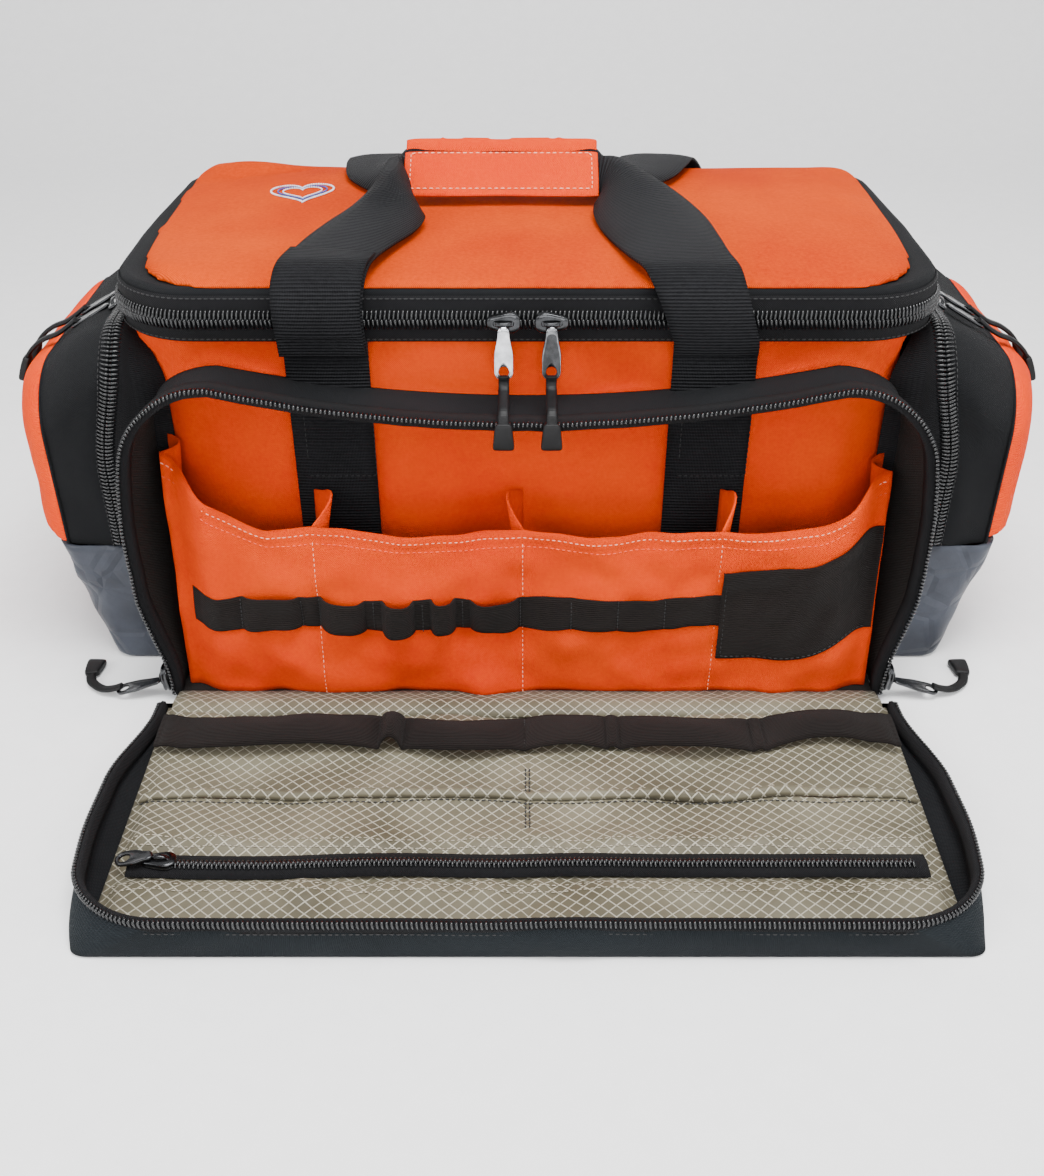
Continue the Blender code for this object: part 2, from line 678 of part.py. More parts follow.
def build_end_pocket_pulls(mats):
    slope = math.atan2(COVER_TOP - SHOULDER_TOP, SHOULDER_X - COVER_X)
    s, c = math.sin(slope), math.cos(slope)
    for side, sign in (("left", -1), ("right", 1)):
        for name, y, nose in (("fore", -0.0510, 1), ("aft", -0.0290, -1)):
            out = (sign * s, 0, c)
            down = (sign * c, 0, -s)
            centre = (sign * (0.2590 + 0.0032 * s), y, COVER_TOP - (0.2590 - COVER_X) * math.tan(slope) + 0.0032 * c)
            slider_body(f"{side}_{name}_slider", centre, (0, nose, 0), down, out, mats, centre)
            pivot = (sign * 0.2672, y, 0.2315)
            pull_tab(f"{side}_{name}_tab", pivot, down, (0, 1, 0), out, 0.0290, mats)
            path = [(0.2955, 0.2152), (0.3030, 0.2125), (0.3120, 0.2090), (0.3200, 0.2035), (0.3255, 0.1965), (0.3310, 0.1825)]
            shift = -nose * 0.0
            path = [(sign * x, y + shift, z) for x, z in path]
            pull_cord(f"{side}_{name}_pull", path, (0, 1, 0), mats, pivot)


def build_flap_pocket_pull(mats):
    centre = (-0.2080, -0.3260, 0.0120)
    slider_body("flap_slider", centre, (1, 0, 0), (0, 1, 0), (0, 0, 1), mats, centre)
    pivot = (-0.2120, -0.3260, 0.0162)
    pull_tab("flap_tab", pivot, (-0.9848, 0, -0.1736), (0, 1, 0), (-0.1736, 0, 0.9848), 0.0210, mats)


def main():
    clear_scene()
    mats = {
        "orange": material("orange_cloth", ORANGE, 0.75),
        "black": material("black_cloth", BLACK, 0.8),
        "webbing": material("webbing", BLACK, 0.7),
        "elastic": material("elastic", BLACK, 0.85),
        "slate": material("slate_cloth", SLATE, 0.75),
        "grey": material("tarpaulin", GREY, 0.45),
        "khaki": material("ripstop_lining", KHAKI, 0.5),
        "lining": material("base_cloth", BLACK, 0.7),
        "coil": material("zip_coil", COIL, 0.35),
        "gunmetal": material("gunmetal", GUNMETAL, 0.25, 1.0),
        "rubber": material("pull_rubber", RUBBER, 0.6),
    }
    build_shell(mats)
    build_zip_and_lid(mats)
    build_front_pocket(mats)
    build_organiser(mats)
    build_strap_runs(mats)
    build_front_handle(mats)
    build_rear_handle(mats)
    build_flap(mats)
    build_end_pockets(mats)
    build_lid_pulls(mats)
    build_front_pocket_pulls(mats)
    build_end_pocket_pulls(mats)
    build_flap_pocket_pull(mats)


main()
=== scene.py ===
"""Looks of the trauma bag: cloth, webbing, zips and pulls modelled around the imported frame."""

import math

import bmesh
import bpy
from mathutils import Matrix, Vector, noise


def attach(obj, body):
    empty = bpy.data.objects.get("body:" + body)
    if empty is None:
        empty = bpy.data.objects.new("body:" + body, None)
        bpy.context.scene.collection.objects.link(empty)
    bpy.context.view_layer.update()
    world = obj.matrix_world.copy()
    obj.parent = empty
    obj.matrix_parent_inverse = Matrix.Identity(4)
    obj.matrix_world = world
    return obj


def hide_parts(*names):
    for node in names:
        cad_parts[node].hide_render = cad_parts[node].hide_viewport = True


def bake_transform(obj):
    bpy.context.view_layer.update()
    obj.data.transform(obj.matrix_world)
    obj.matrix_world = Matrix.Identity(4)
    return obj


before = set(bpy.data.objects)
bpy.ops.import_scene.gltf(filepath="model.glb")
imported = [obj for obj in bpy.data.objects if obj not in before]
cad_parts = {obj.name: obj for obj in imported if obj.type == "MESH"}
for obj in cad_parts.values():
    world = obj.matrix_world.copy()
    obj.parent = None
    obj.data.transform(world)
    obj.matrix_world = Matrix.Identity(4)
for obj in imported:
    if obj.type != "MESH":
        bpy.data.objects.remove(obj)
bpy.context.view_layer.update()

# Sizes of the frame, in metres
HALF_W = 0.240
FRONT_Y = -0.1225
REAR_Y = 0.1225
R_FRONT = 0.050
R_REAR = 0.030
LID_TOP = 0.2690
LID_CROWN = 0.2738
PAD_SIDE = 0.0090
GUSSET_HALF = 0.235
GUSSET_Y = -0.1585
GUSSET_TOP = 0.222
GUSSET_SAG = 0.019
HINGE_Y = -0.1725
FLAP_FRONT = -0.3865
FLAP_HALF = 0.242
BAYS = (-0.222, -0.134, -0.003, 0.121, 0.222)
STRAP_X = 0.115
STRAP_HALF = 0.025
STRAP_THICK = 0.0018
CLOTH_THICK = 0.0014
TAPE_THICK = 0.0008
GRIP_HALF = 0.0635
GRIP_SHIFT = -0.0170
GRIP_SIDES = 28
GRIP_FOOT = (0.0025, 0.2818)
GRIP_LEAN = math.radians(62)
BOOT_TOP = 0.090
MOUTH_FLARE = 0.0062
ORGANISER_HALF = 0.2285
PITCH = 0.0026
AIR_PRESSURE = 4.0
AIR_FRAMES = 20


# ---------------------------------------------------------------- materials


def principled(name, colour, rough, metal=0.0):
    mat = bpy.data.materials.new(name)
    mat.use_nodes = True
    shader = mat.node_tree.nodes["Principled BSDF"]
    shader.inputs["Base Color"].default_value = (*colour, 1)
    shader.inputs["Roughness"].default_value = rough
    shader.inputs["Metallic"].default_value = metal
    return mat, mat.node_tree, shader


def node(tree, kind, **values):
    made = tree.nodes.new(kind)
    for key, value in values.items():
        if key in made.inputs:
            made.inputs[key].default_value = value
        else:
            setattr(made, key, value)
    return made


def maths(tree, operation, first, second=None):
    made = tree.nodes.new("ShaderNodeMath")
    made.operation = operation
    for socket, value in zip(made.inputs, (first, second)):
        if value is None:
            continue
        if isinstance(value, (int, float)):
            socket.default_value = value
        else:
            tree.links.new(value, socket)
    return made.outputs[0]


def coords(tree, use_uv):
    """Two lengths in metres across the cloth, from the piece's own map or from its place."""
    source = node(tree, "ShaderNodeTexCoord")
    split = node(tree, "ShaderNodeSeparateXYZ")
    if use_uv:
        tree.links.new(source.outputs["UV"], split.inputs[0])
        return split.outputs[0], split.outputs[1], source.outputs["Object"]
    tree.links.new(source.outputs["Object"], split.inputs[0])
    x, y, z = split.outputs
    u = maths(tree, "ADD", x, maths(tree, "MULTIPLY", maths(tree, "SUBTRACT", y, z), 0.25))
    v = maths(tree, "ADD", maths(tree, "MULTIPLY", y, 0.9), z)
    return u, v, source.outputs["Object"]


def noise_of(tree, where, scale, detail=3.0, rough=0.55):
    made = node(tree, "ShaderNodeTexNoise")
    made.inputs["Scale"].default_value = scale
    made.inputs["Detail"].default_value = detail
    made.inputs["Roughness"].default_value = rough
    tree.links.new(where, made.inputs["Vector"])
    return made.outputs["Fac"]


def ramp(tree, fac, stops):
    made = node(tree, "ShaderNodeValToRGB")
    elements = made.color_ramp.elements
    while len(elements) < len(stops):
        elements.new(0.5)
    for element, (place, colour) in zip(elements, stops):
        element.position = place
        element.color = (*colour, 1)
    tree.links.new(fac, made.inputs["Fac"])
    return made.outputs["Color"]


def sine(tree, value, pitch):
    return maths(tree, "SINE", maths(tree, "MULTIPLY", value, 2 * math.pi / pitch))


def bump_normal(tree, height, distance, strength, under=None):
    made = node(tree, "ShaderNodeBump")
    made.inputs["Strength"].default_value = strength
    made.inputs["Distance"].default_value = distance
    tree.links.new(height, made.inputs["Height"])
    if under is not None:
        tree.links.new(under, made.inputs["Normal"])
    return made.outputs[0]


def bump(tree, shader, height, distance, strength, under=None):
    tree.links.new(bump_normal(tree, height, distance, strength, under), shader.inputs["Normal"])


def cloth(name, dark, light, rough=0.75, pitch=0.0012, depth=0.0004, use_uv=True, sheen=0.15, crease=0.0012,
    rib=False, gloss=0.10):
    """Woven cloth: warp and weft bump, uneven dye, slubs and soft creases."""
    mat, tree, shader = principled(name, light, rough)
    shader.inputs["Specular IOR Level"].default_value = gloss
    shader.inputs["Sheen Weight"].default_value = sheen
    shader.inputs["Sheen Roughness"].default_value = 0.5
    u, v, place = coords(tree, use_uv)
    if rib:
        thread = sine(tree, v, pitch)
        cross = sine(tree, u, pitch * 0.45)
        woven = maths(tree, "ADD", thread, maths(tree, "MULTIPLY", cross, 0.25))
    else:
        diagonal = sine(tree, maths(tree, "ADD", u, v), pitch)
        woven = maths(tree, "ADD", maths(tree, "MULTIPLY", sine(tree, u, pitch), sine(tree, v, pitch)),
            maths(tree, "MULTIPLY", diagonal, 0.5))
    broad = noise_of(tree, place, 9.0, 4.0)
    fine = noise_of(tree, place, 420.0, 2.0, 0.7)
    mixed = maths(tree, "ADD", maths(tree, "MULTIPLY", broad, 0.62), maths(tree, "MULTIPLY", fine, 0.38))
    mixed = maths(tree, "ADD", mixed, maths(tree, "MULTIPLY", woven, 0.12))
    colour = ramp(tree, mixed, [(0.25, dark), (0.72, light)])
    tree.links.new(colour, shader.inputs["Base Color"])
    folds = bump_normal(tree, noise_of(tree, place, 34.0, 3.0, 0.5), crease, 0.55)
    bump(tree, shader, woven, depth, 0.8, folds)
    uneven = maths(tree, "ADD", maths(tree, "MULTIPLY", fine, 0.16), rough - 0.08)
    tree.links.new(uneven, shader.inputs["Roughness"])
    return mat


def ripstop(name):
    """Olive-tan lining with a raised pale diamond grid."""
    mat, tree, shader = principled(name, (0.16, 0.14, 0.10), 0.5)
    shader.inputs["Specular IOR Level"].default_value = 0.2
    shader.inputs["Sheen Weight"].default_value = 0.03
    u, v, place = coords(tree, True)
    long = maths(tree, "MULTIPLY", v, 1.12)
    lines = []
    for combined in (maths(tree, "ADD", u, long), maths(tree, "SUBTRACT", u, long)):
        wave = maths(tree, "ABSOLUTE", maths(tree, "SINE",
            maths(tree, "MULTIPLY", combined, math.pi / 0.0088)))
        lines.append(maths(tree, "LESS_THAN", wave, 0.19))
    grid = maths(tree, "MAXIMUM", lines[0], lines[1])
    broad = noise_of(tree, place, 14.0, 4.0)
    base = ramp(tree, broad, [(0.3, (0.062, 0.054, 0.034)), (0.7, (0.150, 0.134, 0.092))])
    mix = node(tree, "ShaderNodeMix", data_type="RGBA")
    tree.links.new(maths(tree, "MULTIPLY", grid, 0.75), mix.inputs[0])
    tree.links.new(base, mix.inputs[6])
    mix.inputs[7].default_value = (0.40, 0.375, 0.30, 1)
    tree.links.new(mix.outputs[2], shader.inputs["Base Color"])
    folds = bump_normal(tree, noise_of(tree, place, 46.0, 3.0), 0.0018, 0.7)
    bump(tree, shader, grid, 0.0003, 0.7, folds)
    return mat


def coated(name):
    """Grey tarpaulin: creased, a little glossy."""
    mat, tree, shader = principled(name, (0.07, 0.072, 0.085), 0.42)
    shader.inputs["Specular IOR Level"].default_value = 0.3
    _, _, place = coords(tree, False)
    broad = noise_of(tree, place, 22.0, 5.0, 0.6)
    colour = ramp(tree, broad, [(0.3, (0.010, 0.012, 0.018)), (0.7, (0.044, 0.050, 0.066))])
    tree.links.new(colour, shader.inputs["Base Color"])
    fold = node(tree, "ShaderNodeTexVoronoi", feature="DISTANCE_TO_EDGE")
    fold.inputs["Scale"].default_value = 38.0
    tree.links.new(place, fold.inputs["Vector"])
    creases = maths(tree, "MINIMUM", maths(tree, "MULTIPLY", fold.outputs["Distance"], 5.0), 0.6)
    folds = bump_normal(tree, maths(tree, "ADD", creases, broad), 0.0016, 0.8)
    bump(tree, shader, noise_of(tree, place, 900.0, 1.0), 0.0001, 0.5, folds)
    tree.links.new(maths(tree, "ADD", maths(tree, "MULTIPLY", broad, 0.25), 0.3),
        shader.inputs["Roughness"])
    return mat


def hard(name, dark, light, rough, metal=0.0, scale=180.0, depth=0.00006, coat=0.0, gloss=0.5):
    """Moulded or painted hardware with slightly uneven gloss and rubbed patches."""
    mat, tree, shader = principled(name, light, rough, metal)
    shader.inputs["Coat Weight"].default_value = coat
    shader.inputs["Specular IOR Level"].default_value = gloss
    _, _, place = coords(tree, False)
    grain = noise_of(tree, place, scale, 4.0)
    tree.links.new(ramp(tree, grain, [(0.35, dark), (0.68, light)]), shader.inputs["Base Color"])
    tree.links.new(maths(tree, "ADD", maths(tree, "MULTIPLY", grain, 0.2), rough - 0.1),
        shader.inputs["Roughness"])
    bump(tree, shader, grain, depth, 0.6)
    return mat


MAT = {
    "orange": cloth("orange_cloth", (0.84, 0.024, 0.0004), (1.0, 0.092, 0.0008), 0.70, depth=0.0006,
        crease=0.0024, sheen=0.0, gloss=0.05),
    # painted shade: the lid gets its own darker copy of the orange cloth, to offset the strong light that
    # falls on the top
    "lid_painted_shade_orange": cloth("lid_painted_shade_orange_cloth", (0.52, 0.018, 0.0002), (0.86, 0.100, 0.0004), 0.72,
        depth=0.0006, crease=0.0020, sheen=0.0, gloss=0.03),
    "black": cloth("black_cloth", (0.0030, 0.0033, 0.0040), (0.0100, 0.0108, 0.0125), 0.78, sheen=0.02),
    "inner": cloth("pocket_lining_cloth", (0.0040, 0.0030, 0.0026), (0.0140, 0.0110, 0.0095), 0.62,
        crease=0.003, sheen=0.03),
    "webbing": cloth("webbing", (0.0044, 0.0044, 0.0052), (0.0180, 0.0184, 0.0204), 0.56, 0.0021, 0.0008,
        sheen=0.0, rib=True, gloss=0.07),
    "elastic": cloth("elastic", (0.0036, 0.0027, 0.0024), (0.0130, 0.0095, 0.0085), 0.72, 0.0013, 0.0004,
        sheen=0.03, rib=True),
    "slate": cloth("slate_cloth", (0.006, 0.008, 0.010), (0.014, 0.018, 0.021), 0.75, sheen=0.01),
    "tape": cloth("zip_tape", (0.0030, 0.0030, 0.0034), (0.0095, 0.0095, 0.0110), 0.75, 0.0013, sheen=0.02),
    "khaki": ripstop("ripstop_lining"),
    "grey": coated("tarpaulin"),
    "coil": hard("zip_coil", (0.0020, 0.0022, 0.0026), (0.0070, 0.0075, 0.0088), 0.26, gloss=0.55),
    "gunmetal": hard("gunmetal", (0.014, 0.0145, 0.016), (0.050, 0.052, 0.056), 0.24, 0.9, coat=0.4),
    "bright": hard("worn_nickel", (0.42, 0.43, 0.45), (0.72, 0.73, 0.76), 0.2, 1.0),
    "worn": hard("worn_gunmetal", (0.10, 0.102, 0.108), (0.26, 0.265, 0.275), 0.22, 1.0),
    "rubber": hard("pull_rubber", (0.0014, 0.0014, 0.0017), (0.0048, 0.0048, 0.0056), 0.5, gloss=0.25),
    "thread": hard("orange_thread", (0.75, 0.050, 0.010), (0.95, 0.12, 0.03), 0.6),
    "pale_tan": hard("tan_thread", (0.22, 0.19, 0.14), (0.40, 0.36, 0.28), 0.6),
    "pale": hard("pale_thread", (0.80, 0.24, 0.13), (0.98, 0.42, 0.28), 0.6),
    "dark_thread": hard("black_thread", (0.0050, 0.0050, 0.0055), (0.0170, 0.0170, 0.0180), 0.6),
    "tape_thread": hard("tape_thread", (0.0020, 0.0020, 0.0024), (0.0080, 0.0080, 0.0090), 0.6),
    "white": hard("white_thread", (0.50, 0.51, 0.56), (0.78, 0.78, 0.85), 0.55),
    "blue": hard("blue_thread", (0.02, 0.03, 0.20), (0.05, 0.08, 0.36), 0.55),
}


# ---------------------------------------------------------------- mesh helpers


def link(name, mesh, mats):
    obj = bpy.data.objects.new(name, mesh)
    for mat in mats:
        mesh.materials.append(mat)
    mesh.polygons.foreach_set("use_smooth", [True] * len(mesh.polygons))
    bpy.context.scene.collection.objects.link(obj)
    return obj


def applied(obj):
    """Replaces the object's mesh with what its modifiers make of it."""
    bpy.context.view_layer.update()
    graph = bpy.context.evaluated_depsgraph_get()
    made = bpy.data.meshes.new_from_object(obj.evaluated_get(graph), preserve_all_data_layers=True,
        depsgraph=graph)
    obj.modifiers.clear()
    obj.data = made
    return obj


def thicken(obj, thick, where=0.0):
    """Gives a sheet its thickness: half to each side, or all to one where where is 1 or -1."""
    made = obj.modifiers.new("thick", "SOLIDIFY")
    made.thickness = thick
    made.offset = where
    made.use_even_offset = False
    applied(obj)
    obj.data.polygons.foreach_set("use_smooth", [True] * len(obj.data.polygons))
    return obj


def surface(name, rows, mats, around=False, along=False, pick=None):
    """A sheet through a grid of points, mapped in metres; around closes each row, along joins the last
    row to the first."""
    count = len(rows[0])
    points = [Vector(p) for row in rows for p in row]
    faces, marks, uvs = [], [], []
    lengths = [0.0]
    middle = count // 2
    for i in range(1, len(rows) + 1):
        a, b = Vector(rows[i - 1][middle]), Vector(rows[i % len(rows)][middle])
        lengths.append(lengths[-1] + (a - b).length)
    widest = max(range(len(rows)), key=lambda r: sum((Vector(rows[r][k]) - Vector(rows[r][k - 1])).length
        for k in range(1, count)))
    across = [0.0]
    for j in range(1, count + 1):
        across.append(across[-1] + (Vector(rows[widest][j % count]) - Vector(rows[widest][j - 1])).length)
    for i in range(len(rows) if along else len(rows) - 1):
        for j in range(count if around else count - 1):
            k, m = (i + 1) % len(rows), (j + 1) % count
            faces.append((i * count + j, i * count + m, k * count + m, k * count + j))
            uvs += [(across[j], lengths[i]), (across[j + 1], lengths[i]), (across[j + 1], lengths[i + 1]),
                (across[j], lengths[i + 1])]
            marks.append(pick(i, j) if pick else 0)
    mesh = bpy.data.meshes.new(name)
    mesh.from_pydata(points, [], faces)
    layer = mesh.uv_layers.new(name="UVMap")
    layer.data.foreach_set("uv", [c for uv in uvs for c in uv])
    obj = link(name, mesh, mats)
    mesh.polygons.foreach_set("material_index", marks)
    return obj


def add_caps(obj, *loops):
    """Closes a skin over loops of vertex numbers."""
    work = bmesh.new()
    work.from_mesh(obj.data)
    work.verts.ensure_lookup_table()
    for loop in loops:
        work.faces.new([work.verts[i] for i in loop])
    bmesh.ops.recalc_face_normals(work, faces=work.faces)
    work.to_mesh(obj.data)
    work.free()
    return obj


def closed_ends(obj, count, levels):
    """Closes a tube of levels rings, each of count points, at both ends."""
    return add_caps(obj, list(range(count))[::-1], list(range((levels - 1) * count, levels * count)))


def dress(obj, body, slot, *nodes):
    """Puts a piece on its body and hides the CAD nodes that it stands for; the slot argument is not used.
    """
    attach(obj, body)
    if nodes:
        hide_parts(*nodes)


def sheet(name, rows, mat, thick, body, slot, *nodes, where=0.0):
    """A cloth of one material and thickness through a grid of points, put on its body."""
    obj = thicken(surface(name, rows, [MAT[mat]]), thick, where)
    dress(obj, body, slot, *nodes)


def tidy_normals(obj):
    return add_caps(obj)


def joined(name, objs):
    """Joins several pieces of one body into the first, under one name."""
    for other in bpy.context.selected_objects:
        other.select_set(False)
    for obj in objs:
        obj.select_set(True)
    bpy.context.view_layer.objects.active = objs[0]
    bpy.ops.object.join()
    objs[0].name = name
    objs[0].data.name = name
    return objs[0]


def resample(path, step):
    """Points every step along a polyline of (position, side, out), with the directions carried along."""
    found = []
    carry = 0.0
    for (a, sa, oa), (b, sb, ob) in zip(path, path[1:]):
        a, b = Vector(a), Vector(b)
        length = (b - a).length
        if length < 1e-9:
            continue
        at = carry
        while at < length:
            t = at / length
            found.append((a.lerp(b, t), Vector(sa).lerp(Vector(sb), t).normalized(),
                Vector(oa).lerp(Vector(ob), t).normalized()))
            at += step
        carry = at - length
    return found


def smooth_line(points, per=8):
    """A Catmull-Rom curve through the points."""
    pts = [Vector(p) for p in points]
    pts = [pts[0] * 2 - pts[1]] + pts + [pts[-1] * 2 - pts[-2]]
    found = []
    for i in range(1, len(pts) - 2):
        a, b, c, d = pts[i - 1 : i + 3]
        for k in range(per):
            t = k / per
            found.append(0.5 * ((2 * b) + (c - a) * t + (2 * a - 5 * b + 4 * c - d) * t**2
                + (3 * b - a - 3 * c + d) * t**3))
    found.append(pts[-2].copy())
    return found


def puff(obj, cap, held, voxel):
    """Fills a closed cloth with air by Blender's cloth simulation; held says which places are sewn down."""
    even = obj.modifiers.new("even", "REMESH")
    even.mode = "VOXEL"
    even.voxel_size = voxel
    applied(obj)
    rest = [v.co.copy() for v in obj.data.vertices]
    group = obj.vertex_groups.new(name="held")
    group.add([i for i, co in enumerate(rest) if held(co)], 1.0, "REPLACE")
    air = obj.modifiers.new("air", "CLOTH")
    air.settings.use_pressure = True
    air.settings.uniform_pressure_force = AIR_PRESSURE
    air.settings.effector_weights.gravity = 0.0
    air.settings.vertex_group_mass = "held"
    air.settings.tension_stiffness = air.settings.compression_stiffness = 12
    air.settings.bending_stiffness = 0.3
    air.point_cache.frame_start, air.point_cache.frame_end = 1, AIR_FRAMES
    for frame_number in range(1, AIR_FRAMES + 1):
        bpy.context.scene.frame_set(frame_number)
    graph = bpy.context.evaluated_depsgraph_get()
    moved = [v.co.copy() for v in obj.evaluated_get(graph).data.vertices]
    obj.modifiers.clear()
    bpy.context.scene.frame_set(1)
    for vertex, start, end in zip(obj.data.vertices, rest, moved):
        step = end - start
        if step.length > cap:
            step *= cap / step.length
        vertex.co = start + step
    finer = obj.modifiers.new("finer", "SUBSURF")
    finer.levels = finer.render_levels = 1
    applied(obj)
    obj.data.polygons.foreach_set("use_smooth", [True] * len(obj.data.polygons))
    if not obj.data.uv_layers:
        obj.data.uv_layers.new(name="UVMap")
    return obj


def teeth(name, path, body, two_sided=False, width=0.0050, phase=0.0):
    """The coil of a zip: one rounded bar for each turn, with its head raised. path gives (place,
    towards tape, out)."""
    points, faces = [], []
    sides = (1, -1) if two_sided else (1,)
    for sign in sides:
        placed = resample(path, PITCH)
        for i, (p, side, out) in enumerate(placed):
            if i == 0:
                continue
            travel = (p - placed[i - 1][0]).normalized()
            side = (side - travel * side.dot(travel)).normalized() * sign
            p = p + travel * (PITCH / 2 if sign < 0 else PITCH * phase)
            first = len(points)
            for along, rise, fat in ((-0.0013, 0.0003, 0.00060), (-0.0006, 0.0014, 0.00098),
                (width * 0.30, 0.0016, 0.00080), (width * 0.72, 0.0010, 0.00072), (width, 0.0002, 0.00060)):
                centre = p + side * along + out * rise + travel * (along * 0.12)
                for k in range(6):
                    angle = math.pi * k / 3
                    points.append(centre + travel * (math.cos(angle) * fat) + out
                        * (math.sin(angle) * fat * 1.15))
            for level in range(4):
                for k in range(6):
                    a, b = first + level * 6 + k, first + level * 6 + (k + 1) % 6
                    faces.append((a, b, b + 6, a + 6))
            faces.append(tuple(range(first, first + 6))[::-1])
            faces.append(tuple(range(first + 24, first + 30)))
    mesh = bpy.data.meshes.new(name)
    mesh.from_pydata(points, [], faces)
    obj = link(name, mesh, [MAT["coil"]])
    tidy_normals(obj)
    dress(obj, body, "zip_coil")
    return obj


def stitches(name, path, body, mat, step=0.0036, long=0.0025, radius=0.00038, slot="orange_cloth"):
    """A row of thread dashes lying on the cloth. path gives (place, side, out)."""
    points, faces = [], []
    placed = resample(path, step)
    for i, (p, _, out) in enumerate(placed[:-1]):
        travel = (placed[i + 1][0] - p).normalized()
        across = out.cross(travel).normalized()
        first = len(points)
        for along, fat in ((0.0, 0.3), (0.22, 1.0), (0.78, 1.0), (1.0, 0.3)):
            centre = p + travel * (along * long) + out * (radius * 0.4 * fat)
            for k in range(5):
                angle = 2 * math.pi * k / 5
                points.append(centre + (across * math.cos(angle) + out * math.sin(angle)) * radius * fat)
        for level in range(3):
            for k in range(5):
                a, b = first + level * 5 + k, first + level * 5 + (k + 1) % 5
                faces.append((a, b, b + 5, a + 5))
        faces.append(tuple(range(first, first + 5))[::-1])
        faces.append(tuple(range(first + 15, first + 20)))
    mesh = bpy.data.meshes.new(name)
    mesh.from_pydata(points, [], faces)
    obj = link(name, mesh, [MAT[mat]])
    tidy_normals(obj)
    dress(obj, body, slot)
    return obj


def hump(distance, width):
    """A smooth rise to 1 where distance is 0."""
    return math.exp(-((distance / width) ** 2))


def signed_power(value, power):
    """Squares off a sine or cosine, keeping its sign."""
    return math.copysign(abs(value) ** power, value)


def wave(x, y, z, scale, amount, seed=0.0):
    """Smooth noise: scale says how many folds lie in a metre, amount how deep they are."""
    return noise.noise(Vector((x * scale + seed, y * scale - seed, z * scale + 2 * seed))) * amount


def outline(count=176):
    """The main compartment from above as (x, y, nx, ny), evenly spaced, starting at the middle of the
    back."""
    pieces = []

    def arc(cx, cy, r, start, end, steps=24):
        for i in range(steps + 1):
            a = math.radians(start + (end - start) * i / steps)
            pieces.append((cx + r * math.cos(a), cy + r * math.sin(a), math.cos(a), math.sin(a)))

    pieces.append((0.0, REAR_Y, 0.0, 1.0))
    arc(-HALF_W + R_REAR, REAR_Y - R_REAR, R_REAR, 90, 180)
    arc(-HALF_W + R_FRONT, FRONT_Y + R_FRONT, R_FRONT, 180, 270)
    arc(HALF_W - R_FRONT, FRONT_Y + R_FRONT, R_FRONT, 270, 360)
    arc(HALF_W - R_REAR, REAR_Y - R_REAR, R_REAR, 0, 90)
    pieces.append((0.0, REAR_Y, 0.0, 1.0))
    lengths = [0.0]
    for a, b in zip(pieces, pieces[1:]):
        lengths.append(lengths[-1] + math.hypot(a[0] - b[0], a[1] - b[1]))
    found = []
    k = 0
    for i in range(count):
        want = lengths[-1] * i / count
        while lengths[k + 1] < want:
            k += 1
        t = (want - lengths[k]) / max(lengths[k + 1] - lengths[k], 1e-9)
        a, b = pieces[k], pieces[k + 1]
        x, y, nx, ny = (a[j] + (b[j] - a[j]) * t for j in range(4))
        size = math.hypot(nx, ny)
        found.append((x, y, nx / size, ny / size))
    return found


RING = outline()


def ring(z):
    """The outline at one height: the mouth of the bag flares to the sides, most of all at its front
    corners."""
    share = smooth_step((z - 0.185) / 0.060) * MOUTH_FLARE
    found = []
    for x, y, nx, ny in RING:
        side = min(abs(x) / 0.19, 1) ** 4 * smooth_step((0.13 - y) / 0.16)
        found.append((x + math.copysign(share * side, x), y, nx, ny))
    return found


def ring_at(z, out, wrinkle=None):
    row = []
    for x, y, nx, ny in ring(z):
        extra = wrinkle(x, y, z) if wrinkle else 0.0
        row.append((x + nx * (out + extra), y + ny * (out + extra), z))
    return row


def smooth_step(t):
    t = min(max(t, 0.0), 1.0)
    return t * t * (3 - 2 * t)


def zip_run(z, out, side):
    """The main zip's line: (place, towards tape, out) from one rear corner round the front to the other."""
    return [((x + nx * out, y + ny * out, z), (0, 0, side), (nx, ny, 0))
        for x, y, nx, ny in ring(0.25) if y < 0.080]


def zip_band(name, profile, body, node_name):
    """A strip that follows the main zip; profile gives (out, height) across it."""
    run = [p for p in ring(0.25) if p[1] < 0.080]
    rows = [[(x + nx * out, y + ny * out, z) for x, y, nx, ny in run] for out, z in profile]
    sheet(name, rows, "tape", TAPE_THICK, body, "zip_coil", node_name)


# ---------------------------------------------------------------- main compartment and lid


def body_wrinkle(x, y, z):
    """Drag folds that pull the wall in, mostly upright ones near the zip and slanting ones on the ends."""
    upper = smooth_step((z - 0.15) / 0.07)
    fold = abs(noise.noise(Vector((x * 17 + z * 7, y * 17 - z * 9, z * 9)))) * (0.0066 + 0.0050 * upper)
    droop = z - 0.223 + wave(x, y, 0, 14, 0.010, 6)
    sag = hump(droop, 0.0060) * 0.0044 * smooth_step((abs(x) - 0.120) / 0.04)
    pinch = hump(z - 0.229 + (abs(x) - 0.190) * 0.55,
        0.0030) * 0.0036 * smooth_step((abs(x) - 0.150) / 0.03)
    drag = hump(z - 0.176 - (abs(x) - 0.16) * 0.45, 0.0050) * 0.0034 * smooth_step((abs(x) - 0.146) / 0.03)
    return -fold - sag - pinch - drag - abs(wave(x, y, z, 42, 0.0016, 3))


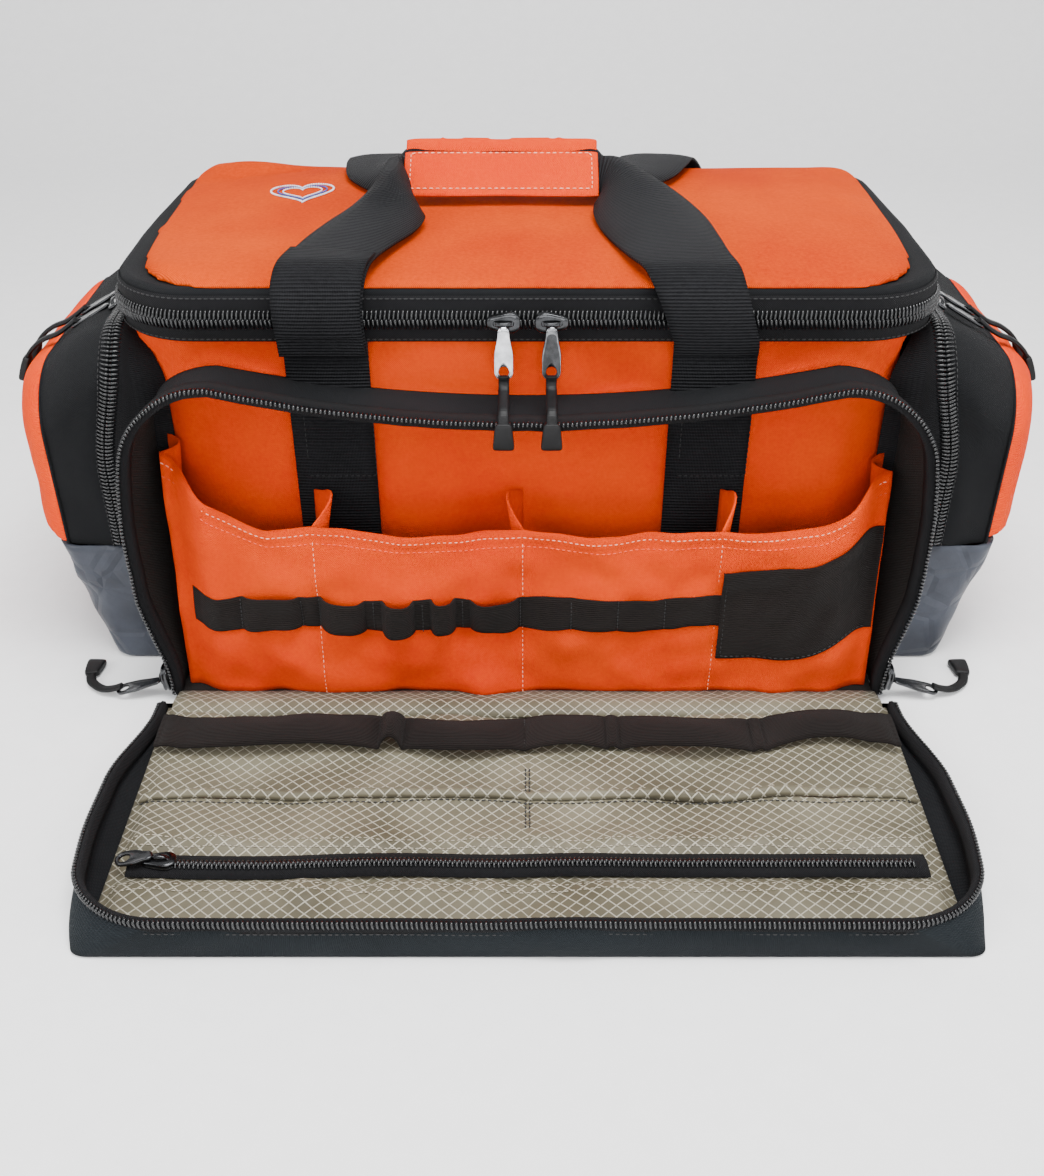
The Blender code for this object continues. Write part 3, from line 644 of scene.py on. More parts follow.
def build_shell():
    rows = []
    profile = [(0.0044, -0.0030), (0.0060, -0.0012), (0.012, -0.0002), (0.025, 0.0004), (0.05, 0.0008),
        (0.08, 0.001), (0.11, 0.001)]
    profile += [(0.14, 0.001), (0.17, 0.0008), (0.195, 0.0006), (0.212, 0.0002), (0.226, -0.0004),
        (0.236, -0.0002)]
    for z, out in profile:
        rows.append(ring_at(z, out, body_wrinkle))
    rows.append(ring_at(0.2455, -0.0002))
    rows.append(ring_at(0.2478, -0.0012))
    rows.append(ring_at(0.2484, -0.0032))
    rows.append(ring_at(0.2474, -0.0054))
    for z in (0.240, 0.21, 0.17, 0.13, 0.09, 0.05, 0.02, 0.0064, 0.0044):
        rows.append(ring_at(z, -0.0165, lambda x, y, z: -abs(wave(x, y, z, 18, 0.0014, 5))))
    obj = surface("main_shell", rows, [MAT["orange"], MAT["tape"], MAT["inner"]], around=True, along=True,
        pick=lambda i, j: 0 if i < 13 else 1 if i < 17 else 2)
    tidy_normals(obj)
    dress(obj, "main_body", "orange_cloth", "front_panel", "rear_panel", "left_end_panel",
        "right_end_panel")
    rows = [ring_at(0.0003, -0.012), ring_at(0.0006, -0.004), ring_at(0.0020, -0.0002),
        ring_at(0.0034, -0.0008), ring_at(0.0042, -0.004), ring_at(0.0042, -0.02)]
    base = surface("base_cloth", rows, [MAT["black"]], around=True)
    count = len(RING)
    closed_ends(base, count, 6)
    dress(base, "main_body", "base_cloth", "base_panel")


def pad_inset(y):
    """How far inside the black edging the lid's pad stops at its sides, most of all at the front
    corners."""
    return PAD_SIDE * (0.4 + 0.6 * smooth_step((-0.02 - y) / 0.08))


def lid_height(x, y):
    """How high the padded top stands: a soft crown, broad dents and a pucker at one rear corner."""
    dx, dy = HALF_W - pad_inset(y) - abs(x), REAR_Y - abs(y)
    edge = min(max(min(dx, dy), 0) / 0.026, 1)
    crown = (LID_CROWN - LID_TOP) * (1 - (1 - edge) ** 2.4)
    dents = wave(x, y, 0, 11, 0.0030, 1.7) + wave(x, y * 1.6, 0, 30, 0.0012, 4.1)
    corner = math.exp(-(((x + 0.196) / 0.030) ** 2 + ((y - 0.104) / 0.013) ** 2)) * 0.0062
    crease = -hump(y - 0.083 - (x + 0.20) * 0.25, 0.0045) * 0.0030 * smooth_step((-0.110 - x) / 0.05)
    pull = -hump(y + 0.113, 0.010) * 0.0012 * (abs(abs(x) - STRAP_X) < 0.032)
    return LID_TOP + crown + (dents + pull) * edge + (corner + crease) * min(edge * 2, 1)


def build_lid():
    rows = []
    pad = [(x * (1 - pad_inset(y) / HALF_W), y, nx, ny) for x, y, nx, ny in RING]
    for out, z in ((-0.0030, 0.2664), (-0.0016, 0.2670), (-0.0006, 0.2680), (-0.0004, 0.2692),
        (-0.0018, 0.2704)):
        rows.append([(x + nx * (out + wave(x, y, z, 26, 0.0006)),
            y + ny * (out + wave(x, y, z, 26, 0.0006)), z) for x, y, nx, ny in pad])
    for inset in (0.0045, 0.008, 0.012, 0.017, 0.023, 0.030, 0.038, 0.047, 0.057, 0.068, 0.080, 0.092,
        0.104, 0.114):
        row = []
        for x, y, _, _ in pad:
            px = x * (1 - inset / HALF_W)
            py = y * (1 - inset / REAR_Y)
            row.append((px, py, lid_height(px, py) + 0.0012 * max(0, 1 - inset / 0.012)))
        rows.append(row)
    count = len(RING)
    # the pad wears the lid's darker copy of the orange cloth, painted shade against the strong light on the
    # top
    top = surface("lid_pad", rows, [MAT["lid_painted_shade_orange"]], around=True)
    closed_ends(top, count, len(rows))
    puff(top, 0.0042, lambda co: co.z < 0.2672 or min(HALF_W - pad_inset(co.y) - abs(co.x),
        REAR_Y - abs(co.y)) < 0.006, 0.004)
    planar(top)
    dress(top, "lid", "orange_cloth", "lid_panel")

    rows = []
    wobble = lambda x, y, z: wave(x, y, z, 30, 0.0005, 2)
    for out, z in ((-0.0008, 0.2520), (0.0006, 0.2535), (0.0009, 0.2570), (0.0004, 0.2610),
        (-0.0002, 0.2645), (-0.0014, 0.2668), (-0.0040, 0.2676), (-0.0090, 0.2668), (-0.0170, 0.2662)):
        rows.append(ring_at(z, out, wobble))
    for out, z in ((-0.0172, 0.2650), (-0.0064, 0.2640), (-0.0064, 0.2560), (-0.0058, 0.2518),
        (-0.0034, 0.2512)):
        rows.append(ring_at(z, out))
    border = surface("lid_edging", rows, [MAT["black"]], around=True, along=True)
    tidy_normals(border)
    dress(border, "lid", "black_cloth", "lid_border")
    lining = surface("lid_lining", [[(x * s, y * s, z) for x, y, _, _ in ring(0.26)]
        for s, z in ((0.972, 0.2655), (0.95, 0.2648), (0.6, 0.2640), (0.2, 0.2640))], [MAT["inner"]],
        around=True)
    planar(lining)
    closed_ends(lining, count, 4)
    dress(lining, "lid", "base_cloth")

    zip_band("lid_zip_tape", [(0.0006, 0.2640), (0.0014, 0.2615), (0.0019, 0.2570), (0.0022, 0.2530),
        (0.0020, 0.2510)], "lid", "lid_stringer")
    teeth("lid_zip_teeth", zip_run(0.2511, 0.0026, 1), "lid")
    zip_band("rim_zip_tape", [(0.0020, 0.2500), (0.0022, 0.2478), (0.0019, 0.2440), (0.0012, 0.2400),
        (0.0006, 0.2366)], "main_body", "rim_stringer")
    teeth("rim_zip_teeth", zip_run(0.2499, 0.0028, -1), "main_body", phase=0.5)
    run = [((x + nx * 0.0024, y + ny * 0.0024, 0.2385), (0, 0, -1), (nx, ny, 0))
        for x, y, nx, ny in ring(0.25) if y < 0.08]
    stitches("rim_tape_stitches", run, "main_body", "dark_thread", slot="zip_coil")
    run = [((x + nx * 0.0014, y + ny * 0.0014, 0.2625), (0, 0, 1), (nx, ny, 0))
        for x, y, nx, ny in ring(0.26)]
    stitches("lid_edge_stitches", run, "lid", "dark_thread", slot="zip_coil")


def planar(obj):
    """Maps a mostly level cloth from above, in metres."""
    layer = obj.data.uv_layers[0]
    for loop in obj.data.loops:
        co = obj.data.vertices[loop.vertex_index].co
        layer.data[loop.index].uv = (co.x, co.y)


def build_emblem():
    """A plain embroidered heart, white outside and blue inside."""
    centre = Vector((-0.150, 0.034))
    pad = bpy.data.objects["lid_pad"]

    def pad_height(x, y):
        hit, place, _, _ = pad.ray_cast(Vector((x, y, 0.35)) - pad.matrix_world.translation,
            Vector((0, 0, -1)))
        return place.z + pad.matrix_world.translation.z if hit else LID_CROWN

    turn = math.radians(8)
    for name, size, mat, radius in (("emblem_outer", 1.0, "white", 0.0007),
        ("emblem_inner", 0.78, "blue", 0.0006), ("emblem_core", 0.62, "white", 0.0005)):
        path = []
        for i in range(121):
            t = 2 * math.pi * i / 120
            hx = 16 * math.sin(t) ** 3 / 16 * 0.021 * size
            hy = (13 * math.cos(t) - 5 * math.cos(2 * t) - 2 * math.cos(3 * t)
                - math.cos(4 * t)) / 16 * 0.021 * size
            x = centre.x + hx * math.cos(turn) - hy * math.sin(turn)
            y = centre.y + hx * math.sin(turn) + hy * math.cos(turn)
            path.append(((x, y, pad_height(x, y) + 0.0003), (1, 0, 0), (0, 0, 1)))
        stitches(name, path, "lid", mat, step=0.00165, long=0.0015, radius=radius)


# ---------------------------------------------------------------- front pocket


def belly(reach):
    """How far the pocket's sides stand out at a distance from the hinge; the flap and the gusset share
    it, so they still meet."""
    return 0.0125 * smooth_step((reach - 0.012) / 0.075) * (1 - 0.75 * smooth_step((reach - 0.120) / 0.095))


def gusset_run():
    """The drop-front opening from the bottom left, up, over and down the right: (x, z, nx, nz)."""
    line = [(-GUSSET_HALF - belly(0.003 + 0.169 * i / 16), 0.003 + 0.169 * i / 16, -1.0, 0.0)
        for i in range(17)]
    high = GUSSET_TOP - 0.05
    for i in range(1, 12):
        a = math.radians(180 - 90 * i / 12)
        z = high + 0.05 * math.sin(a)
        line.append((-GUSSET_HALF + 0.05 + 0.05 * math.cos(a) + belly(z) * math.cos(a), z, math.cos(a),
            math.sin(a)))
    for i in range(41):
        x = -0.185 + 0.37 * i / 40
        line.append((x, GUSSET_TOP - GUSSET_SAG * (1 - (x / 0.185) ** 2), x * 0.9, 1.0))
    for i in range(1, 12):
        a = math.radians(90 - 90 * i / 12)
        z = high + 0.05 * math.sin(a)
        line.append((GUSSET_HALF - 0.05 + 0.05 * math.cos(a) + belly(z) * math.cos(a), z, math.cos(a),
            math.sin(a)))
    line += [(GUSSET_HALF + belly(0.172 - 0.169 * i / 16), 0.172 - 0.169 * i / 16, 1.0, 0.0)
        for i in range(17)]
    found = []
    for x, z, nx, nz in line:
        size = math.hypot(nx, nz)
        found.append((x, z, nx / size, nz / size))
    return found


def wall_y(x):
    past = max(abs(x) - (HALF_W - R_FRONT), 0)
    return FRONT_Y + R_FRONT - math.sqrt(max(R_FRONT**2 - past**2, 0))


def gusset_point(x, z, nx, nz, t, inward=0.0):
    """A place on the gusset: t runs from the wall, 0, to the zip edge, 1."""
    spread = belly(z) * abs(nx) * (1 - smooth_step(t * 1.1))
    x = x - math.copysign(spread, x)
    back = wall_y(min(max(abs(x) - 0.003, 0), HALF_W - 0.004)) - 0.0012
    y = back + (GUSSET_Y - back) * t
    swell = math.sin(math.pi * t) * (0.0026 + wave(x, y, z, 16, 0.0062, 7)) + wave(x, y, z, 40, 0.0016,
        2) * t
    droop = -0.0035 * max(0.0, nz) * math.sin(math.pi * t * 0.6) * (1 - (x / GUSSET_HALF) ** 2)
    side = -abs(swell) * 0.6 - inward
    return (x + nx * side, y, z + nz * side + droop)


def build_gusset():
    run = gusset_run()
    rows = []
    steps = 9
    for i in range(steps + 1):
        rows.append([gusset_point(x, z, nx, nz, i / steps) for x, z, nx, nz in run])
    for i in range(steps, -1, -1):
        rows.append([gusset_point(x, z, nx, nz, i / steps, 0.0016) for x, z, nx, nz in run])
    obj = surface("front_gusset_cloth", rows, [MAT["black"], MAT["inner"]], along=True, pick=lambda i,
        j: 0 if i < steps else 1)
    count = len(run)
    add_caps(obj, [r * count for r in range(len(rows))],
        [r * count + count - 1 for r in range(len(rows))][::-1])
    dress(obj, "main_body", "black_cloth", "front_gusset")

    def edge(i, forward, out):
        x, z, nx, nz = run[i]
        p = gusset_point(x, z, nx, nz, 1.0)
        return (p[0] + nx * out, GUSSET_Y - forward, p[2] + nz * out)

    rows = [[edge(i, forward, out) for i in range(count)]
        for forward, out in ((-0.0120, 0.0010), (-0.0050, 0.0013), (0.0004, 0.0010), (0.0010, -0.0006),
        (0.0002, -0.0030), (-0.0080, -0.0034))]
    sheet("front_gusset_tape", rows, "tape", TAPE_THICK, "main_body", "zip_coil", "front_gusset_stringer")
    path = []
    for i in range(count):
        x, z, nx, nz = run[i]
        path.append((edge(i, 0.0028, 0.0004), (0, 1, 0), (nx, 0, nz)))
    teeth("front_gusset_teeth", path, "main_body")
    path = [(gusset_point(x, z, nx, nz, 0.78, -0.0006), (0, 1, 0), (nx, 0, nz)) for x, z, nx, nz in run]
    stitches("front_gusset_stitches", path, "main_body", "dark_thread", slot="zip_coil")
    rows = []
    for y, z in ((-0.1225, 0.0036), (-0.135, 0.0034), (-0.150, 0.0034), (-0.164, 0.0032)):
        rows.append([(-0.232 + 0.464 * i / 24, y, z) for i in range(25)])
    sheet("front_pocket_floor", rows, "inner", 0.0028, "main_body", "base_cloth")


def organiser_top(x):
    """Height of the organiser's hem, which dips in each bay and climbs to the corners."""
    if x < 0:
        hem = 0.1275 + 0.036 * min(max((-x - 0.163) / 0.060, 0.0), 1.1)
    else:
        hem = 0.1275 + 0.0045 * min(max((x - 0.118) / 0.060, 0.0),
            1.0) + 0.022 * smooth_step((x - 0.176) / 0.048)
    for a, b in zip(BAYS, BAYS[1:]):
        if a <= x <= b:
            t = (x - a) / (b - a)
            hem -= 0.0045 * math.sin(math.pi * t)
    return hem + wave(x, 0, 0, 30, 0.002, 8)


def organiser_y(x, t):
    """How far forward the organiser's front sheet stands; t runs from its foot, 0, to its hem, 1."""
    ends = smooth_step((abs(x) - 0.196) / 0.028)
    y = -0.1572
    for a, b in zip(BAYS, BAYS[1:]):
        if a <= x <= b:
            s = (x - a) / (b - a)
            y -= 0.0030 * math.sin(math.pi * s) ** 0.7 * math.sin(math.pi * min(t * 0.9 + 0.05, 1))
    y += 0.0035 * t * t
    y += wave(x, t * 0.13, 0, 20, 0.0062, 3) + wave(x, t * 0.13, 0, 52, 0.0026, 6)
    return y + ends * 0.028 * (0.25 + 0.75 * t)


def organiser_point(x, t, off=0.0):
    foot = 0.0052
    side = smooth_step((abs(x) - 0.200) / 0.022)
    px = x * (1 - 0.006 * side)
    return (px, organiser_y(x, t) - off, foot + (organiser_top(x) - foot) * t)


def build_organiser():
    across = 150
    rows = []
    for i in range(31):
        rows.append([organiser_point(-ORGANISER_HALF + 2 * ORGANISER_HALF * j / across, i / 30)
            for j in range(across + 1)])
    sheet("organiser_front", rows, "orange", CLOTH_THICK, "main_body", "orange_cloth", "organiser_pocket",
        where=1.0)
    hem = [(organiser_point(-ORGANISER_HALF + 2 * ORGANISER_HALF * j / across, 0.965, 0.0013), (0, 0, -1),
        (0, -1, 0)) for j in range(across + 1)]
    stitches("organiser_hem_stitches", hem, "main_body", "pale")
    low = [(organiser_point(-ORGANISER_HALF + 2 * ORGANISER_HALF * j / across, 0.915, 0.0013), (0, 0, -1),
        (0, -1, 0)) for j in range(across + 1)]
    stitches("organiser_second_stitches", low, "main_body", "thread")
    rows = []
    for t in (0.925, 0.94, 0.985, 1.004):
        rows.append([organiser_point(-ORGANISER_HALF + 2 * ORGANISER_HALF * j / across, t,
            0.0009 if 0.93 < t < 1 else 0.0002) for j in range(across + 1)])
    sheet("organiser_hem", rows, "orange", 0.0012, "main_body", "orange_cloth")
    for number, x in enumerate(BAYS[1:-1]):
        path = [(organiser_point(x, t / 20, 0.0012), (1, 0, 0), (0, -1, 0)) for t in range(20)]
        stitches(f"organiser_bay_stitches_{number}", path, "main_body", "pale")
        lean = (0.012, -0.010, 0.008)[number]
        rows = []
        for i in range(9):
            t = i / 8
            row = []
            for j in range(9):
                s = j / 8
                back = -0.1275
                front = organiser_y(x, t) + 0.0012
                y = front + (back - front) * s
                peak = organiser_top(x) + 0.021 * math.sin(math.pi * min(s * 1.15, 1) * 0.62) - 0.006 * s
                z = 0.006 + (peak - 0.006) * t
                row.append((x + lean * math.sin(math.pi * s) * t * t + wave(x, y, z, 30, 0.0012), y, z))
            rows.append(row)
        sheet(f"organiser_divider_{number}", rows, "orange", CLOTH_THICK, "main_body", "orange_cloth")
    for side in (-1, 1):
        rows = []
        for i in range(13):
            t = i / 12
            row = []
            for j in range(9):
                s = j / 8
                front = organiser_point(side * ORGANISER_HALF, t)
                y = front[1] + (-0.1085 - front[1]) * s
                x = front[0] + side * 0.0015 * math.sin(math.pi * s) - side * 0.012 * math.sin(math.pi
                    * s) * t
                row.append((x, y, front[2] + 0.004 * s * t))
            rows.append(row)
        sheet(f"organiser_end_{'left' if side < 0 else 'right'}", rows, "orange", CLOTH_THICK, "main_body",
            "orange_cloth")


def loops_height(x, loops):
    """How far a sewn elastic stands off: one arch for each (start, end, height)."""
    for a, b, high in loops:
        if a < x < b:
            return high * max(0.0, 1 - abs(2 * (x - a) / (b - a) - 1) ** 3.2) ** 0.8
    return 0.0


def card_rise(x, share):
    """The card strap climbs where it turns the organiser's corner."""
    return (0.016 + 0.006 * share) * smooth_step((x - 0.168) / 0.050)


def build_organiser_elastics():
    loops = [(-0.2105, -0.1845, 0.0012), (-0.1825, -0.1455, 0.0058), (-0.1440, -0.1340, 0.0010),
        (-0.1325, -0.1040, 0.0072), (-0.0925, -0.0722, 0.0084), (-0.0614, -0.0464, 0.0080),
        (-0.0366, -0.0060, 0.0064)]
    loops += [(-0.003, 0.028, 0.0012), (0.028, 0.058, 0.0010), (0.058, 0.088, 0.0012),
        (0.088, 0.118, 0.0010)]
    rows = []
    steps = 380
    for k in range(7):
        row = []
        for j in range(steps + 1):
            x = -0.2175 + 0.3455 * j / steps
            t = (0.0685 + (k / 6 - 0.5) * 0.0225 - 0.0045) / (organiser_top(x) - 0.0045)
            high = loops_height(x, loops)
            dip = -0.10 * high + 0.0016 * math.sin(x * 70)
            p = organiser_point(x, t, 0.0016 + high + 0.0006 * math.sin(math.pi * k / 6))
            row.append((p[0], p[1], p[2] + dip))
        rows.append(row)
    sheet("organiser_loops", rows, "elastic", CLOTH_THICK, "main_body", "elastic", "organiser_elastic")
    for number, x in enumerate([-0.1835, -0.1445, -0.1333, -0.0982, -0.0668, -0.0415, -0.0045, 0.028, 0.058,
        0.088]):
        path = []
        for k in range(9):
            t = (0.0685 + (k / 8 - 0.5) * 0.021 - 0.0045) / (organiser_top(x) - 0.0045)
            p = organiser_point(x, t, 0.0029)
            path.append((p, (1, 0, 0), (0, -1, 0)))
        stitches(f"loop_tack_{number}", path, "main_body", "dark_thread", 0.0026, 0.0022, slot="elastic")
    rows = []
    for k in range(17):
        row = []
        for j in range(61):
            x = 0.1235 + 0.1040 * j / 60
            z = 0.0330 + 0.0660 * k / 16 + 0.0018 * math.sin(j / 60 * 5.0) * (k / 16) + card_rise(x, k / 16)
            t = (z - 0.0045) / (organiser_top(x) - 0.0045)
            lift = 0.0018 + 0.0010 * math.sin(math.pi * k / 16) + (0.0012 if k > 13
                else 0) + abs(wave(x, z, 0, 40, 0.001))
            row.append(organiser_point(x, t, lift))
        rows.append(row)
    sheet("organiser_card_loop", rows, "elastic", 0.0015, "main_body", "elastic", "organiser_card_elastic")
    path = []
    for x, s in [(0.1262, 0.97 - 0.94 * k / 16) for k in range(17)] + [(0.1262 + 0.099 * k / 20, 0.03)
        for k in range(21)]:
        z = 0.0330 + 0.0660 * s + card_rise(x, s)
        t = (z - 0.0045) / (organiser_top(x) - 0.0045)
        path.append((organiser_point(x, t, 0.0034), (1, 0, 0), (0, -1, 0)))
    stitches("card_loop_stitches", path, "main_body", "dark_thread", slot="elastic")


# ---------------------------------------------------------------- webbing and handles


def build_strap_runs():
    for side, sign in (("left", -1), ("right", 1)):
        rows = []
        for i in range(45):
            z = 0.098 + (0.238 - 0.098) * i / 44
            row = []
            for k in range(9):
                x = sign * STRAP_X - 0.004 + (k / 8 - 0.5) * 2 * STRAP_HALF
                ridge = 0.0003 * math.sin(i * 1.2) if 0.15 < z < 0.205 else 0
                row.append((x, FRONT_Y - 0.0024 - ridge - 0.0009 * math.sin(math.pi * k / 8), z))
            rows.append(row)
        sheet(f"{side}_strap_sewn", rows, "webbing", STRAP_THICK, "main_body", "webbing",
            f"{side}_strap_run")
        rows = []
        for i in range(60):
            z = 0.03 + 0.205 * i / 59
            rows.append([(sign * STRAP_X + (k / 8 - 0.5) * 2 * STRAP_HALF,
                REAR_Y + 0.0022 + 0.0006 * math.sin(math.pi * k / 8), z) for k in range(9)])
        sheet(f"{side}_rear_strap_sewn", rows, "webbing", STRAP_THICK, "main_body", "webbing")
        for place, y, out, low, high in (("front", FRONT_Y - 0.0040, -1, 0.150, 0.200),
            ("rear", REAR_Y + 0.0038, 1, 0.165, 0.225)):
            inset = 0.004
            x0, x1 = sign * STRAP_X - STRAP_HALF + inset, sign * STRAP_X + STRAP_HALF - inset
            corners = [(x0, low), (x1, low), (x1, high), (x0, high), (x0, low)]
            path = []
            for (ax, az), (bx, bz) in zip(corners, corners[1:]):
                for k in range(6):
                    t = k / 6
                    path.append(((ax + (bx - ax) * t, y, az + (bz - az) * t), (1, 0, 0), (0, out, 0)))
            stitches(f"{side}_{place}_box_stitch", path, "main_body", "tape_thread", radius=0.00028,
                slot="webbing")


def along_grip(up, out):
    s, c = math.sin(GRIP_LEAN), math.cos(GRIP_LEAN)
    return (GRIP_FOOT[0] + up * s - out * c, GRIP_FOOT[1] + up * c + out * s)


def webbing_strip(name, edges, cup, per=7, across=11):
    """Webbing between smooth outer and inner edges; it cups and creases where it turns into the grip."""
    outer = smooth_line([e[0] for e in edges], per)
    inner = smooth_line([e[1] for e in edges], per)
    rows = []
    total = len(outer) - 1
    for i, (a, b) in enumerate(zip(outer, inner)):
        before, after = max(i - 1, 0), min(i + 1, total)
        travel = outer[after] + inner[after] - outer[before] - inner[before]
        normal = (a - b).cross(travel).normalized()
        if normal.z + normal.y * (-0.2) < 0 and i > per:
            normal = -normal
        t = i / total
        deep = cup(t)
        row = []
        for k in range(across):
            s = k / (across - 1)
            bend = 4 * s * (1 - s)
            ripple = math.sin(s * math.pi * 3) * 0.10 * deep
            row.append(b.lerp(a, s) + normal * (deep * bend + ripple))
        rows.append(row)
    return thicken(surface(name, rows, [MAT["webbing"]]), STRAP_THICK)


def inside_grip(x, low, high, out):
    return ((x, *along_grip(high, out)), (x, *along_grip(low, out)))


def front_edges(sign):
    """The front webbing's outer and inner edges from the wall to inside the grip; the left one turns
    on edge beside the grip."""
    if sign > 0:
        edges = [
            ((0.1360, -0.1268, 0.2300), (0.0860, -0.1268, 0.2300)),
            ((0.1350, -0.1300, 0.2400), (0.0850, -0.1300, 0.2400)),
            ((0.1300, -0.1322, 0.2560), (0.0790, -0.1322, 0.2560)),
            ((0.1255, -0.1300, 0.2695), (0.0730, -0.1300, 0.2695)),
            ((0.1220, -0.1190, 0.2786), (0.0670, -0.1190, 0.2786)),
            ((0.1175, -0.1000, 0.2810), (0.0590, -0.1030, 0.2804)),
            ((0.1145, -0.0740, 0.2820), (0.0510, -0.0800, 0.2806)),
            ((0.1100, -0.0420, 0.2832), (0.0450, -0.0560, 0.2808)),
            ((0.0990, -0.0120, 0.2866), (0.0418, -0.0320, 0.2812)),
            ((0.0820, 0.0100, 0.2928), (0.0430, -0.0120, 0.2822)),
            ((0.0600, *along_grip(0.0375, -0.0008)), (0.0480, *along_grip(0.0050, -0.0012))),
        ]
        return edges + [inside_grip(x, 0.0050, 0.0375, -0.0012) for x in (0.0400, 0.0240)]
    edges = [
        ((-0.1450, -0.1268, 0.2300), (-0.0940, -0.1268, 0.2300)),
        ((-0.1450, -0.1300, 0.2400), (-0.0945, -0.1300, 0.2400)),
        ((-0.1455, -0.1322, 0.2560), (-0.0950, -0.1322, 0.2560)),
        ((-0.1450, -0.1300, 0.2700), (-0.0935, -0.1300, 0.2700)),
        ((-0.1425, -0.1170, 0.2790), (-0.0910, -0.1180, 0.2788)),
        ((-0.1370, -0.0960, 0.2812), (-0.0870, -0.1040, 0.2808)),
        ((-0.1310, -0.0720, 0.2816), (-0.0790, -0.0840, 0.2810)),
        ((-0.1220, -0.0460, 0.2822), (-0.0690, -0.0620, 0.2812)),
        ((-0.1100, -0.0270, 0.2855), (-0.0640, -0.0400, 0.2816)),
        ((-0.0990, -0.0140, 0.2925), (-0.0670, -0.0240, 0.2818)),
        ((-0.0930, 0.0050, 0.2985), (-0.0750, -0.0070, 0.2830)),
        ((-0.0880, *along_grip(0.0385, -0.0010)), (-0.0800, *along_grip(0.0060, -0.0012))),
    ]
    return edges + [inside_grip(x, 0.0050, 0.0375, -0.0012) for x in (-0.0720, -0.0560)]


def rear_edges(sign):
    edges = [
        ((0.1360, 0.1272, 0.2260), (0.0860, 0.1272, 0.2260)),
        ((0.1360, 0.1300, 0.2400), (0.0860, 0.1300, 0.2400)),
        ((0.1330, 0.1316, 0.2560), (0.0830, 0.1316, 0.2560)),
        ((0.1265, 0.1290, 0.2680), (0.0765, 0.1290, 0.2680)),
        ((0.1190, 0.1150, 0.2775), (0.0700, 0.1190, 0.2775)),
        ((0.1120, 0.0900, 0.2800), (0.0640, 0.1020, 0.2805)),
        ((0.1000, 0.0600, 0.2802), (0.0585, 0.0840, 0.2845)),
        ((0.0820, 0.0380, 0.2800), (0.0535, 0.0640, 0.2910)),
        ((0.0640, 0.0220, 0.2800), (0.0490, 0.0500, 0.2970)),
        ((0.0490, *along_grip(0.0140, -0.0034)), (0.0440, *along_grip(0.0485, -0.0034))),
        ((0.0300, *along_grip(0.0140, -0.0034)), (0.0300, *along_grip(0.0468, -0.0030))),
        ((0.0000, *along_grip(0.0140, -0.0034)), (0.0000, *along_grip(0.0460, -0.0030))),
        ((GRIP_SHIFT, *along_grip(0.0140, -0.0034)), (GRIP_SHIFT, *along_grip(0.0460, -0.0030))),
    ]
    if sign > 0:
        return edges
    flipped = []
    for pair in edges:
        middle = (abs(pair[0][1]) + abs(pair[1][1])) / 2
        share = min(max((0.127 - middle) / 0.090, 0.0), 1.0)
        flipped.append(tuple((-p[0] + 2 * GRIP_SHIFT * share - 0.004 * (1 - share), p[1], p[2])
            for p in pair))
    return flipped


def build_handles():
    def front_cup(amount):
        return lambda t: amount * smooth_step((t - 0.35) / 0.35) * (1
            - smooth_step((t - 0.80) / 0.12)) + 0.0008

    for side, sign, amount in (("left", -1, 0.0075), ("right", 1, 0.0040)):
        strap = webbing_strip(f"front_strap_{side}", front_edges(sign), front_cup(amount))
        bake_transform(strap)
        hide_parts("front_handle_webbing")
        if side == "left":
            doubled = [tuple((p[0] - 0.001, p[1] - 0.0024, p[2] + (0.0024 if p[2] > 0.265 else 0.0))
                for p in pair) for pair in front_edges(-1)[:6]]
            fold = webbing_strip("front_strap_fold", doubled, lambda t: 0.0012 * math.sin(math.pi * t))
            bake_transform(fold)
        strap = webbing_strip(f"rear_strap_{side}", rear_edges(sign),
            lambda t: 0.0025 * math.sin(math.pi * min(t * 1.1, 1)))
        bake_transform(strap)
        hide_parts("rear_handle_webbing")


def grip_leaf(name, body, low, high, foot, tall, replaced, curl=0.0):
    """One wrapped half of the grip: a padded sleeve, puffed between its seams, with stitching all round."""
    rows = []
    steps = 56
    for i in range(steps + 1):
        x = GRIP_SHIFT - GRIP_HALF + 2 * GRIP_HALF * i / steps
        end = min(min(i, steps - i) / 3, 1)
        middle, half = (low + high) / 2, (high - low) / 2
        row = []
        for k in range(GRIP_SIDES):
            a = 2 * math.pi * k / GRIP_SIDES
            ux = signed_power(math.cos(a), 0.5)
            ox = signed_power(math.sin(a), 0.7)
            up = foot + tall / 2 + ux * (tall / 2) * (0.985 + 0.015 * end) + wave(x, a, foot, 30, 0.0007)
            swell = 1 + 0.10 * math.sin(x * 90) + wave(x, ux, 0, 40, 0.35, 3)
            out = middle + ox * half * swell * (0.75 + 0.25 * end) + curl * smooth_step((up - 0.040)
                / 0.014)
            row.append((x, *along_grip(up, out)))
        rows.append(row)
    obj = surface(name, rows, [MAT["orange"]], around=True)
    closed_ends(obj, GRIP_SIDES, steps + 1)
    puff(obj, 0.0012, lambda co: min(GRIP_HALF - abs(co.x - GRIP_SHIFT), 1) < 0.003, 0.002)
    planar(obj)
    dress(obj, body, "orange_cloth", replaced)
    s, c = math.sin(GRIP_LEAN), math.cos(GRIP_LEAN)
    face = (0, -c, s)
    inset = 0.0045
    top, bottom = foot + tall - inset, foot + inset
    left, right = GRIP_SHIFT - GRIP_HALF + inset, GRIP_SHIFT + GRIP_HALF - inset
    corners = [(left, bottom), (right, bottom), (right, top), (left, top), (left, bottom)]
    path = []
    for (ax, au), (bx, bu) in zip(corners, corners[1:]):
        for k in range(8):
            t = k / 8
            path.append(((ax + (bx - ax) * t, *along_grip(au + (bu - au) * t, high + 0.0001)), (1, 0, 0),
                face))
    stitches(f"{name}_stitches", path, body, "pale", 0.0042, 0.0028, 0.0004)
    return obj


